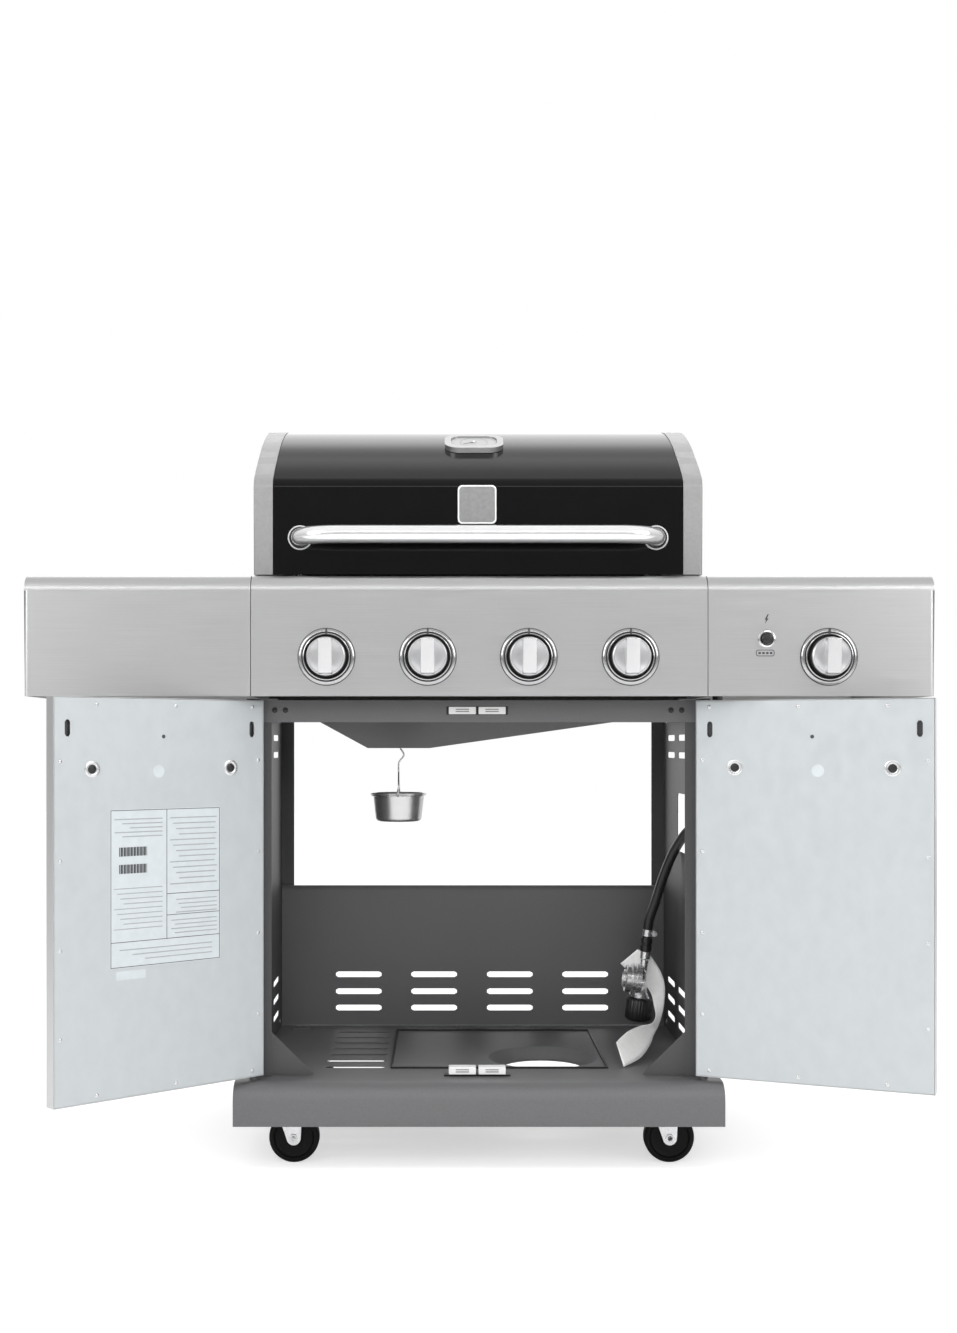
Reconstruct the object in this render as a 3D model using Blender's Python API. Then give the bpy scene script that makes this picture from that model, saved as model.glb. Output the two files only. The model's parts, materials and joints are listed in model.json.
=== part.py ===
"""Four-burner gas barbecue grill on an enclosed two-door cart.

Metres, +Z up, +X to the right as seen from the front, which faces -Y. While the
pieces are laid out, Y = 0 is the face of the control panel. One empty then
shifts the whole grill so that it stands centred over the origin.
"""

import math

import bmesh
import bpy
from mathutils import Euler, Matrix, Vector

for old in list(bpy.data.objects):
    bpy.data.objects.remove(old, do_unlink=True)

# Whole grill
DEPTH_MIDDLE = 0.1764      # middle of the whole depth, behind the control panel's face
SHEET = 0.0015             # folded sheet steel
THIN = 0.0012              # door sheet
GAP = 0.0003               # between pieces that touch
THROUGH = 0.004            # how far a cutter passes a face

# Shelves and control panel
SHELF_END = 0.661
PANEL_HALF = 0.3315
SHELF_START = 0.3325
APRON_BOTTOM = 0.693
DECK_TOP = 0.8695
ROLL = 0.0235              # radius of the rolled front edge
PANEL_BACK = 0.085
SHELF_BACK = 0.460

# Cart
CART_HALF = 0.340
CART_FRONT = 0.070
CART_BACK = 0.510
FLOOR = 0.126              # top of the bottom shelf
CART_TOP = 0.6868
FRONT_FLANGE = 0.309       # where the front flanges end, from the middle
BACK_FLANGE = 0.3165
HEADER_FACE = 0.0683
HEADER_BOTTOM = 0.656
HEADER_TOP = 0.689
BASE_HALF = 0.360
BASE_FRONT = 0.015
BASE_BACK = 0.530
BASE_BOTTOM = 0.064
RAIL_ROLL = 0.025          # radius of the rail's front edge
BACK_PANEL_TOP = 0.374
SLOT_LONG = 0.085
SLOT_HIGH = 0.010
SIDE_COLUMNS = (0.175, 0.297, 0.419)
BACK_COLUMNS = (-0.202, -0.0685, 0.0655, 0.199)
DISH_AT = (0.106, 0.222)
LOUVRES = 7
LOUVRE_PITCH = 0.0493
LOW_ROWS = (0.216, 0.186, 0.157)
HIGH_ROWS = (0.634, 0.605)

# Firebox and what it holds
FIREBOX_HALF = 0.315
FIREBOX_FRONT = 0.0915
FIREBOX_BACK = 0.475
FIREBOX_TOP = 0.868
LIP_TOP = 0.665            # ledge that the grease tray slides on
WALL = 0.003
TAMER_LEDGE = 0.774
GRATE_LEDGE = 0.845

# Lid
LID_FRONT = 0.080
LID_BACK = 0.505
LID_BOTTOM = 0.878
HOOD_HALF = 0.308
CAP_HALF = 0.337
LID_PIVOT = (0.488, 0.888)

# Doors, measured from the pivot with the door closed
DOOR_PIVOT = (0.334, 0.052)
DOOR_EDGE = 0.008          # from the pivot to the hinge edge
DOOR_WIDE = 0.340
DOOR_BOTTOM = 0.133
DOOR_TOP = 0.688
DOOR_OUTER = -0.005
DOOR_INNER = 0.015
LEFT_DOOR_OPEN = math.radians(-139)
RIGHT_DOOR_OPEN = math.radians(157)

# Controls
BURNER_AT = (-0.2217, -0.0748, 0.0718, 0.2196)
SIDE_BURNER_AT = 0.5075
KNOB_HIGH = 0.750
KNOB_RADIUS = 0.029
IGNITER_AT = (0.417, 0.776)

# Casters
WHEEL_RADIUS = 0.0375
WHEEL_HALF = 0.012
TRAIL = 0.012
CASTERS = {"front_left": (-0.2866, 0.070), "front_right": (0.2725, 0.070),
           "rear_left": (-0.2866, 0.462), "rear_right": (0.2725, 0.462)}

# Gas hose, from the manifold elbow to the regulator's hose tail
HOSE_RADIUS = 0.008
HOSE_ROUTE = ((0.3680, 0.0900, 0.7350), (0.3690, 0.1150, 0.7330), (0.3720, 0.1480, 0.7170),
              (0.3760, 0.1760, 0.6750), (0.3790, 0.1980, 0.6230), (0.3800, 0.2220, 0.5700),
              (0.3755, 0.2520, 0.5290), (0.3630, 0.2830, 0.4990), (0.3430, 0.3040, 0.4730),
              (0.3250, 0.3140, 0.4400), (0.3100, 0.3180, 0.4010), (0.2980, 0.3195, 0.3620),
              (0.2880, 0.3200, 0.3330), (0.2845, 0.3200, 0.3030))
REGULATOR_TILT = math.radians(6.5)

# Colour, metallic and roughness
FINISHES = {
    "stainless": ((0.56, 0.56, 0.55), 1.0, 0.32),
    "galvanized": ((0.66, 0.70, 0.72), 0.6, 0.45),
    "chrome": ((0.85, 0.85, 0.86), 1.0, 0.08),
    "black_enamel": ((0.012, 0.012, 0.013), 0.0, 0.15),
    "cast_grey": ((0.42, 0.42, 0.42), 0.7, 0.45),
    "dark_powder": ((0.11, 0.11, 0.115), 0.0, 0.55),
    "cast_iron": ((0.03, 0.03, 0.03), 0.3, 0.7),
    "brass": ((0.62, 0.48, 0.22), 1.0, 0.35),
    "black_rubber": ((0.015, 0.015, 0.015), 0.0, 0.7),
    "black_plastic": ((0.02, 0.02, 0.02), 0.0, 0.4),
    "zinc": ((0.72, 0.72, 0.73), 0.9, 0.35),
}

grill = bpy.data.objects.new("grill", None)
grill.location = (0.0, -DEPTH_MIDDLE, 0.0)
bpy.context.collection.objects.link(grill)


# ---------------------------------------------------------------- outlines

def arc(centre, radius, start, end, steps):
    """Points round a centre, with the angles in degrees."""
    angles = [math.radians(start + (end - start) * i / steps) for i in range(steps + 1)]
    return [(centre[0] + radius * math.cos(a), centre[1] + radius * math.sin(a)) for a in angles]


def stadium(centre, long, high, steps=3):
    """A slot with round ends, its long side along the first axis."""
    radius = high / 2
    reach = long / 2 - radius
    right = arc((centre[0] + reach, centre[1]), radius, -90, 90, steps)
    left = arc((centre[0] - reach, centre[1]), radius, 90, 270, steps)
    return right + left


def circle(centre, radius, steps=12):
    return arc(centre, radius, 0, 360, steps)[:-1]


def folded(points, thickness):
    """Outline of a bent sheet: one face follows the points, the other lies to their left."""
    vectors = [Vector(p) for p in points]
    runs = [(b - a).normalized() for a, b in zip(vectors, vectors[1:])]
    lefts = [Vector((-run.y, run.x)) for run in runs]
    befores = [lefts[0]] + lefts
    afters = lefts + [lefts[-1]]
    other = []
    for point, before, after in zip(vectors, befores, afters):
        other.append(point + (before + after) * thickness / (1 + before.dot(after)))
    return [tuple(p) for p in vectors] + [tuple(p) for p in reversed(other)]


def smooth_path(points, steps):
    """Catmull-Rom curve through the points."""
    ends = [Vector(points[0])] + [Vector(p) for p in points] + [Vector(points[-1])]
    path = []
    for a, b, c, d in zip(ends, ends[1:], ends[2:], ends[3:]):
        for i in range(steps):
            t = i / steps
            path.append(0.5 * (2 * b + (c - a) * t + (2 * a - 5 * b + 4 * c - d) * t * t
                               + (3 * b - a - 3 * c + d) * t ** 3))
    path.append(ends[-1])
    return path


# ---------------------------------------------------------------- solids

def prism(outline, axis, start, end, bm=None):
    """Extrude an outline along an axis; the outline holds the other two axes in order."""
    bm = bm or bmesh.new()
    places = {"X": lambda p, s: (s, p[0], p[1]), "Y": lambda p, s: (p[0], s, p[1]),
              "Z": lambda p, s: (p[0], p[1], s)}
    place = places[axis]
    near = [bm.verts.new(place(p, start)) for p in outline]
    far = [bm.verts.new(place(p, end)) for p in outline]
    bm.faces.new(near)
    bm.faces.new(list(reversed(far)))
    for i in range(len(outline)):
        j = (i + 1) % len(outline)
        bm.faces.new((near[j], near[i], far[i], far[j]))
    return bm


def block(low, high, bm=None):
    outline = ((low[0], low[1]), (high[0], low[1]), (high[0], high[1]), (low[0], high[1]))
    return prism(outline, "Z", low[2], high[2], bm)


def lathe(profile, sides=24, bm=None):
    """Turn (radius, height) points about Z. A profile that leaves the axis clear makes a ring."""
    bm = bm or bmesh.new()
    rings = []
    for radius, height in profile:
        count = sides if radius > 0 else 1
        turns = [2 * math.pi * i / sides for i in range(count)]
        rings.append([bm.verts.new((radius * math.cos(t), radius * math.sin(t), height))
                      for t in turns])
    pairs = list(zip(rings, rings[1:]))
    if profile[0][0] > 0:
        pairs.append((rings[-1], rings[0]))
    for lower, upper in pairs:
        for i in range(sides):
            j = (i + 1) % sides
            corners = [lower[i % len(lower)], lower[j % len(lower)],
                       upper[j % len(upper)], upper[i % len(upper)]]
            bm.faces.new(list(dict.fromkeys(corners)))
    return bm


def rod(radius, start, end, sides=16, bm=None):
    return lathe(((0, start), (radius, start), (radius, end), (0, end)), sides, bm)


def tube(points, radius, sides=10, closed=False, bm=None):
    """Round wire along points, with flat ends unless it closes on itself."""
    bm = bm or bmesh.new()
    points = [Vector(p) for p in points]
    count = len(points)
    rings = []
    side = None
    for i, point in enumerate(points):
        before = points[i - 1] if i or closed else point
        after = points[(i + 1) % count] if i < count - 1 or closed else point
        along = (after - before).normalized()
        if side is None:
            side = along.orthogonal().normalized()
        side = (side - along * side.dot(along)).normalized()
        other = along.cross(side)
        turns = [2 * math.pi * k / sides for k in range(sides)]
        rings.append([bm.verts.new(point + radius * (side * math.cos(t) + other * math.sin(t)))
                      for t in turns])
    pairs = list(zip(rings, rings[1:]))
    if closed:
        pairs.append((rings[-1], rings[0]))
    for first, second in pairs:
        for k in range(sides):
            m = (k + 1) % sides
            bm.faces.new((first[k], first[m], second[m], second[k]))
    if not closed:
        bm.faces.new(list(reversed(rings[0])))
        bm.faces.new(rings[-1])
    return bm


def turned_to(bm, axis, at=(0, 0, 0)):
    """Lay what was made along Z along X or Y instead, and move it."""
    turns = {"X": Matrix.Rotation(math.pi / 2, 4, "Y"), "Y": Matrix.Rotation(-math.pi / 2, 4, "X"),
             "Z": Matrix.Identity(4)}
    bmesh.ops.transform(bm, matrix=Matrix.Translation(at) @ turns[axis], verts=bm.verts)
    return bm


def bow(half, stand_off, bend, steps=5):
    """Path of a bow handle along X whose feet are at Y = 0 and whose grip is at -Y."""
    left = arc((-half + bend, -stand_off + bend), bend, 180, 270, steps)
    right = arc((half - bend, -stand_off + bend), bend, 270, 360, steps)
    flat = [(-half, 0.0)] + left + right + [(half, 0.0)]
    return [(x, y, 0.0) for x, y in flat]


def eased_bow(half, stand_off, reach, steps=7):
    """Path of a bow handle along X whose ends sweep back in long quarter ellipses."""
    foot = 0.005
    quarter = arc((0.0, 0.0), 1.0, 0, 90, steps)
    left = [(-half, 0.0, 0.0)]
    left += [(-half + reach * (1 - x), -foot - (stand_off - foot) * y, 0.0) for x, y in quarter]
    return left + [(-x, y, z) for x, y, z in reversed(left)]


# ---------------------------------------------------------------- objects

def paint(obj, finish):
    colour, metallic, roughness = FINISHES[finish]
    material = bpy.data.materials.new(obj.name + "_" + finish)
    material.use_nodes = True
    shader = material.node_tree.nodes["Principled BSDF"]
    shader.inputs["Base Color"].default_value = (*colour, 1.0)
    shader.inputs["Metallic"].default_value = metallic
    shader.inputs["Roughness"].default_value = roughness
    material.diffuse_color = (*colour, 1.0)
    obj.data.materials.append(material)


def hang(name, data, at, turn):
    obj = bpy.data.objects.new(name, data)
    obj.parent = grill
    obj.location = at
    obj.rotation_euler = turn
    bpy.context.collection.objects.link(obj)
    return obj


def piece(name, bm, finish, at=(0, 0, 0), turn=(0, 0, 0), smooth=False):
    """One sub-part, with its mesh given in its own frame."""
    bmesh.ops.recalc_face_normals(bm, faces=bm.faces)
    mesh = bpy.data.meshes.new(name)
    bm.to_mesh(mesh)
    bm.free()
    obj = hang(name, mesh, at, turn)
    paint(obj, finish)
    if smooth:
        mesh.shade_smooth()
        mesh.set_sharp_from_angle(angle=math.radians(35))
    return obj


def combine(target, bm, label, operation):
    """Join a shape to a sub-part, or cut it out. The shape uses the sub-part's frame."""
    bmesh.ops.recalc_face_normals(bm, faces=bm.faces)
    mesh = bpy.data.meshes.new(label)
    bm.to_mesh(mesh)
    bm.free()
    tool = hang(target.name + "_" + label, mesh, target.location, target.rotation_euler)
    tool.hide_render = True
    tool.display_type = "WIRE"
    modifier = target.modifiers.new(label, "BOOLEAN")
    modifier.operation = operation
    modifier.object = tool


def cut(target, bm, label):
    combine(target, bm, label, "DIFFERENCE")


def weld(target, bm, label):
    combine(target, bm, label, "UNION")


# ---------------------------------------------------------------- cart

def rail_outline(inset):
    """Side view of the bottom shelf, with its broad front roll, or of the room inside it."""
    roll = arc((BASE_FRONT + RAIL_ROLL, FLOOR - RAIL_ROLL), RAIL_ROLL - inset, 180, 90, 5)
    heel = arc((BASE_BACK - 0.008, FLOOR - 0.008), 0.008 - inset, 90, 0, 2)
    low = BASE_BOTTOM - THROUGH if inset else BASE_BOTTOM
    return [(BASE_FRONT + inset, low)] + roll + heel + [(BASE_BACK - inset, low)]


def make_cart_base():
    """Bottom shelf with a deep skirt, caster sockets and the lower door pins."""
    side_view = rail_outline(0.0)
    base = piece("cart_base", prism(side_view, "X", -BASE_HALF, BASE_HALF), "dark_powder")
    room = prism(rail_outline(SHEET), "X", -BASE_HALF + SHEET, BASE_HALF - SHEET)
    cut(base, room, "underside")
    sockets = bmesh.new()
    holes = bmesh.new()
    for x, y in CASTERS.values():
        prism(circle((x, y), 0.020), "Z", 0.0868, FLOOR - SHEET / 2, sockets)
        prism(circle((x, y), 0.0056), "Z", 0.080, 0.108, holes)
    weld(base, sockets, "caster_sockets")
    cut(base, holes, "caster_holes")
    washers = bmesh.new()
    for side in (-1, 1):
        at = (side * DOOR_PIVOT[0], DOOR_PIVOT[1], 0)
        pin = lathe(((0, FLOOR - SHEET / 2), (0.006, FLOOR - SHEET / 2),
                     (0.006, DOOR_BOTTOM - GAP), (0.0025, DOOR_BOTTOM - GAP),
                     (0.0025, DOOR_BOTTOM + 0.006), (0, DOOR_BOTTOM + 0.006)), 16)
        turned_to(pin, "Z", at)
        mesh = bpy.data.meshes.new("pin")
        pin.to_mesh(mesh)
        pin.free()
        washers.from_mesh(mesh)
    weld(base, washers, "door_pins")
    openings = bmesh.new()
    prism(((-0.134, 0.129), (0.201, 0.129), (0.201, 0.453), (-0.134, 0.453)),
          "Z", FLOOR - THROUGH, FLOOR + THROUGH, openings)
    for row in range(LOUVRES):
        slot = stadium((-0.1885, 0.142 + LOUVRE_PITCH * row), 0.095, 0.014)
        prism(slot, "Z", FLOOR - THROUGH, FLOOR + THROUGH, openings)
    prism(stadium((-0.300, 0.470), 0.030, 0.012), "Z", FLOOR - THROUGH, FLOOR + THROUGH, openings)
    cut(base, openings, "floor_openings")


def make_tank_tray():
    """Flush tray hung in the floor opening, dished round the hole for the tank's foot ring."""
    low = (-0.1305, 0.1325, 0.112)
    high = (0.1975, 0.4495, FLOOR - GAP)
    tray = piece("tank_tray", block(low, high), "dark_powder")
    cut(tray, block((low[0] + SHEET, low[1] + SHEET, low[2] - THROUGH),
                    (high[0] - SHEET, high[1] - SHEET, high[2] - SHEET)), "underside")
    ears = bmesh.new()
    top = FLOOR - SHEET - GAP
    block((low[0] - 0.015, 0.180, top - SHEET), (low[0] + SHEET / 2, 0.400, top), ears)
    block((high[0] - SHEET / 2, 0.180, top - SHEET), (high[0] + 0.015, 0.400, top), ears)
    weld(tray, ears, "ears")
    mouth = prism(circle(DISH_AT, 0.0880, 32), "Z", FLOOR - THROUGH, FLOOR + THROUGH)
    cut(tray, mouth, "dish_mouth")
    dish = lathe(((0.0865, 0.1252), (0.0745, 0.1078), (0.0665, 0.1078), (0.0665, 0.1063),
                  (0.0753, 0.1063), (0.0878, 0.1246), (0.0900, 0.1246), (0.0900, 0.1252)), 32)
    bmesh.ops.translate(dish, vec=(*DISH_AT, 0), verts=dish.verts)
    weld(tray, dish, "dish")


def make_side_panel(name, side):
    """Flanged cart side with vent slots and a corner gusset at its front foot."""
    outline = folded(((BACK_FLANGE, CART_BACK), (CART_HALF, CART_BACK),
                      (CART_HALF, CART_FRONT), (FRONT_FLANGE, CART_FRONT)), -SHEET)
    outline = [(side * x, y) for x, y in outline]
    panel = piece(name, prism(outline, "Z", FLOOR + GAP, CART_TOP), "dark_powder")
    foot = FLOOR + 0.0025
    gusset = ((side * 0.247, foot), (side * 0.330, foot), (side * 0.330, foot + 0.064),
              (side * FRONT_FLANGE, foot + 0.064), (side * 0.247, foot + 0.003))
    weld(panel, prism(gusset, "Y", CART_FRONT + SHEET / 2, CART_FRONT + 2 * SHEET), "gusset")
    slots = bmesh.new()
    inner = side * (CART_HALF - THROUGH)
    outer = side * (CART_HALF + THROUGH)
    for column in SIDE_COLUMNS:
        for row in LOW_ROWS + HIGH_ROWS:
            prism(stadium((column, row), SLOT_LONG, SLOT_HIGH), "X", inner, outer, slots)
    if side > 0:
        corners = (arc((0.337, 0.532), 0.010, 0, 90, 3) + arc((0.240, 0.532), 0.010, 90, 180, 3)
                   + arc((0.240, 0.456), 0.010, 180, 270, 3)
                   + arc((0.337, 0.456), 0.010, 270, 360, 3))
        prism(corners, "X", inner, outer, slots)
    cut(panel, slots, "slots")


def make_back_panel():
    """Low back plate with a folded top edge and three rows of vent slots."""
    face = CART_BACK - SHEET - 2 * GAP
    outline = folded(((face - 0.012, BACK_PANEL_TOP), (face, BACK_PANEL_TOP),
                      (face, FLOOR + GAP)), -SHEET)
    half = CART_HALF - SHEET - GAP
    back = piece("back_panel", prism(outline, "X", -half, half), "dark_powder")
    slots = bmesh.new()
    for column in BACK_COLUMNS:
        for row in LOW_ROWS:
            prism(stadium((column, row), SLOT_LONG - 0.003, SLOT_HIGH), "Y",
                  face - THROUGH, face + THROUGH, slots)
    cut(back, slots, "slots")


def make_front_header():
    """Angle rail over the doors, with the upper hinge tabs and pins welded on."""
    outline = folded(((CART_FRONT + 0.020, HEADER_TOP), (HEADER_FACE, HEADER_TOP),
                      (HEADER_FACE, HEADER_BOTTOM)), SHEET)
    header = piece("front_header", prism(outline, "X", -0.326, 0.326), "dark_powder")
    tabs = bmesh.new()
    pins = bmesh.new()
    for side in (-1, 1):
        block((min(side * 0.297, side * 0.343), 0.044, HEADER_TOP - GAP),
              (max(side * 0.297, side * 0.343), 0.086, HEADER_TOP + SHEET), tabs)
        prism(circle((side * DOOR_PIVOT[0], DOOR_PIVOT[1]), 0.0025), "Z",
              DOOR_TOP - 0.007, HEADER_TOP + SHEET / 2, pins)
    weld(header, tabs, "hinge_tabs")
    weld(header, pins, "hinge_pins")
    cut(header, block((-0.0475, HEADER_FACE - THROUGH, 0.6673), (0.0445, HEADER_FACE + 0.003, 0.6799)),
        "magnet_window")


def make_magnet_catches():
    """Two catch blocks, one behind the header and one on the floor."""
    face = 0.0675
    upper = piece("upper_magnet_catch", block((-0.044, face, 0.6680), (0.041, 0.086, 0.6792)), "zinc")
    weld(upper, block((-0.052, HEADER_FACE + SHEET + GAP, 0.6640), (0.049, 0.072, 0.6830)), "flange")
    piece("lower_magnet_catch", block((-0.044, face, FLOOR + GAP), (0.041, 0.086, 0.1430)), "zinc")


# ---------------------------------------------------------------- firebox

def make_firebox():
    """Open-topped box with ledges, tray runners, side feet and the lid's hinge ears."""
    low = LIP_TOP - SHEET
    box = piece("firebox", block((-FIREBOX_HALF, FIREBOX_FRONT, low),
                                 (FIREBOX_HALF, FIREBOX_BACK, FIREBOX_TOP)), "cast_grey")
    inside = FIREBOX_HALF - WALL
    cut(box, block((-inside, FIREBOX_FRONT + WALL, LIP_TOP),
                   (inside, FIREBOX_BACK - WALL, FIREBOX_TOP + THROUGH)), "inside")
    cut(box, block((-inside + 0.010, FIREBOX_FRONT + WALL, low - THROUGH),
                   (inside - 0.010, FIREBOX_BACK + THROUGH, LIP_TOP + THROUGH)), "bottom")
    cut(box, block((-inside, FIREBOX_BACK - 2 * WALL, LIP_TOP),
                   (inside, FIREBOX_BACK + THROUGH, LIP_TOP + 0.008)), "tray_mouth")
    cut(box, make_rods(BURNER_AT, KNOB_HIGH, 0.0105, 0.085, 0.100), "burner_holes")
    ledges = bmesh.new()
    for height in (TAMER_LEDGE, GRATE_LEDGE):
        for near, far in ((FIREBOX_FRONT + SHEET, 0.106), (0.461, FIREBOX_BACK - SHEET)):
            block((-inside - SHEET, near, height - WALL), (inside + SHEET, far, height), ledges)
    weld(box, ledges, "ledges")
    feet = bmesh.new()
    ears = bmesh.new()
    for side in (-1, 1):
        span = sorted((side * (FIREBOX_HALF - SHEET), side * (CART_HALF - SHEET)))
        block((span[0], FIREBOX_FRONT + 0.005, CART_TOP + GAP),
              (span[1], FIREBOX_BACK, CART_TOP + GAP + SHEET), feet)
        ear = ((0.464, 0.800), (0.4745, 0.800), (0.497, 0.872), (0.497, 0.898), (0.464, 0.898))
        prism(ear, "X", side * inside, side * FIREBOX_HALF, ears)
    weld(box, feet, "feet")
    weld(box, ears, "hinge_ears")
    pins = bmesh.new()
    for side in (-1, 1):
        prism(circle(LID_PIVOT, 0.004, 12), "X", side * (inside + SHEET), side * (CAP_HALF + SHEET),
              pins)
    weld(box, pins, "hinge_pins")


def make_rods(columns, height, radius, start, end):
    """Round bars along Y, one for each column."""
    bm = bmesh.new()
    for column in columns:
        prism(circle((column, height), radius), "Y", start, end, bm)
    return bm


def make_burner_set():
    """Four burner tubes with their venturis, joined by the carry-over tube."""
    bm = prism(circle((0, KNOB_HIGH), 0.005, 10), "X", BURNER_AT[0], BURNER_AT[-1])
    bmesh.ops.translate(bm, vec=(0, 0.440, 0), verts=bm.verts)
    burners = piece("burner_set", bm, "stainless", smooth=True)
    for number, column in enumerate(BURNER_AT, 1):
        profile = ((0, 0.0885), (0.0085, 0.0885), (0.0085, 0.118), (0.0125, 0.132),
                   (0.0125, 0.462), (0.004, 0.466), (0.004, 0.4717), (0, 0.4717))
        weld(burners, turned_to(lathe(profile, 12), "Y", (column, 0, KNOB_HIGH)),
             f"burner_{number}")


def make_flame_tamers():
    """Four bent heat plates over the burners."""
    for number, column in enumerate(BURNER_AT, 1):
        low = TAMER_LEDGE + GAP
        outline = folded(((column - 0.052, low), (column, low + 0.030), (column + 0.052, low)), -SHEET)
        floor = [(x, max(z, low)) for x, z in outline]
        bm = prism(floor, "Y", FIREBOX_FRONT + WALL + GAP, FIREBOX_BACK - WALL - GAP)
        piece(f"flame_tamer_{number}", bm, "stainless")


def slotted_plate(low, high, bars, bar_wide, frame):
    """A plate and the cutter that leaves bars along Y inside a frame."""
    plate = block(low, high)
    gaps = bmesh.new()
    room = high[0] - low[0] - 2 * frame
    pitch = (room + bar_wide) / (bars + 1)
    for i in range(bars + 1):
        start = low[0] + frame + i * pitch
        block((start, low[1] + frame, low[2] - THROUGH),
              (start + pitch - bar_wide, high[1] - frame, high[2] + THROUGH), gaps)
    return plate, gaps


def make_grates():
    """Two cast cooking grates side by side, and the warming rack standing on them."""
    low = GRATE_LEDGE + GAP
    half = FIREBOX_HALF - WALL - 0.001
    front = FIREBOX_FRONT + WALL + 0.001
    back = FIREBOX_BACK - WALL - 0.001
    for name, start, end in (("left_cooking_grate", -half, -0.0005),
                             ("right_cooking_grate", 0.0005, half)):
        plate, gaps = slotted_plate((start, front, low), (end, back, low + 0.012), 13, 0.007, 0.010)
        cut(piece(name, plate, "cast_iron"), gaps, "gaps")
    plate, gaps = slotted_plate((-0.300, 0.330, 0.930), (0.300, 0.452, 0.934), 24, 0.004, 0.005)
    rack = piece("warming_rack", plate, "chrome")
    cut(rack, gaps, "gaps")
    legs = bmesh.new()
    for x in (-0.2975, 0.2975):
        for y in (0.3325, 0.4495):
            block((x - 0.002, y - 0.002, low + 0.012 + GAP), (x + 0.002, y + 0.002, 0.932), legs)
    weld(rack, legs, "legs")


def make_grease_tray():
    """Lop-sided funnel on runners, thickened from one skin with a drip hole."""
    rim = LIP_TOP + GAP + THIN
    bm = bmesh.new()
    levels = (((-0.3105, 0.3105), (0.0985, 0.4680), rim), ((-0.2990, 0.2990), (0.1100, 0.4570), rim),
              ((-0.2520, 0.2530), (0.1150, 0.4520), rim - 0.002),
              ((-0.1730, -0.0740), (0.2350, 0.3350), 0.617 + THIN),
              ((-0.1250, -0.1050), (0.2750, 0.2950), 0.617 + THIN))
    rings = []
    for xs, ys, z in levels:
        corners = ((xs[0], ys[0]), (xs[1], ys[0]), (xs[1], ys[1]), (xs[0], ys[1]))
        rings.append([bm.verts.new((x, y, z)) for x, y in corners])
    for outer, inner in zip(rings, rings[1:]):
        for i in range(4):
            j = (i + 1) % 4
            bm.faces.new((outer[i], outer[j], inner[j], inner[i]))
    tray = piece("grease_tray", bm, "galvanized")
    if tray.data.polygons[0].normal.z < 0:
        tray.data.flip_normals()
    skin = tray.modifiers.new("skin", "SOLIDIFY")
    skin.thickness = THIN
    skin.offset = -1.0


def make_grease_cup():
    """Cup on a wire hanger whose hook swings on the left lip of the drip hole."""
    pivot = (-0.1250, 0.285, 0.6176)
    hook = arc((0.0, 0.0), 0.0034, 105, -30, 6)
    hook += [(0.0062, -0.0060), (0.0085, -0.0110), (0.0065, -0.0160), (0.0025, -0.0205),
             (0.0, -0.0260), (0.0, -0.0420)]
    over_rim = ((0.0190, -0.0590), (0.0450, -0.0675), (0.0489, -0.0720), (0.0478, -0.0760),
                (0.0436, -0.0780))
    leg_front = [(x, 0.0, z) for x, z in hook] + [(0.0, -out, down) for out, down in over_rim]
    leg_back = [(0.0, -0.0005, -0.0400)] + [(0.0, out, down) for out, down in over_rim]
    ring = [(x, y, -0.0775) for x, y in circle((0, 0), 0.0436, 16)]
    wire = 0.0014
    hanger = piece("cup_hanger", tube(ring, wire, 6, closed=True), "zinc", at=pivot, smooth=True)
    weld(hanger, tube(leg_front, wire, 6), "hook")
    weld(hanger, tube(leg_back, wire, 6), "leg")
    rim = -0.0727
    profile = ((0, rim - 0.047), (0.0325, rim - 0.047), (0.0372, rim - 0.042), (0.0412, rim - 0.004),
               (0.0457, rim - 0.0015), (0.0457, rim), (0.0405, rim - 0.0008), (0.0362, rim - 0.0412),
               (0.0320, rim - 0.0458), (0, rim - 0.0458))
    piece("grease_cup", lathe(profile, 20), "galvanized", at=pivot, smooth=True)


# ---------------------------------------------------------------- shelves and controls

def apron_outline(back):
    """Side view of the rolled sheet, from its lower edge up the front and back along the top."""
    roll = arc((ROLL, DECK_TOP - ROLL), ROLL, 180, 90, 6)
    return [(0.014, APRON_BOTTOM), (0.0, APRON_BOTTOM)] + roll + [(back, DECK_TOP)]


def make_control_panel():
    outline = folded(apron_outline(PANEL_BACK), -SHEET)
    panel = piece("control_panel", prism(outline, "X", -PANEL_HALF, PANEL_HALF), "stainless",
                  smooth=True)
    cut(panel, make_rods(BURNER_AT, KNOB_HIGH, 0.007, -THROUGH, THROUGH), "stem_holes")


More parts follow.
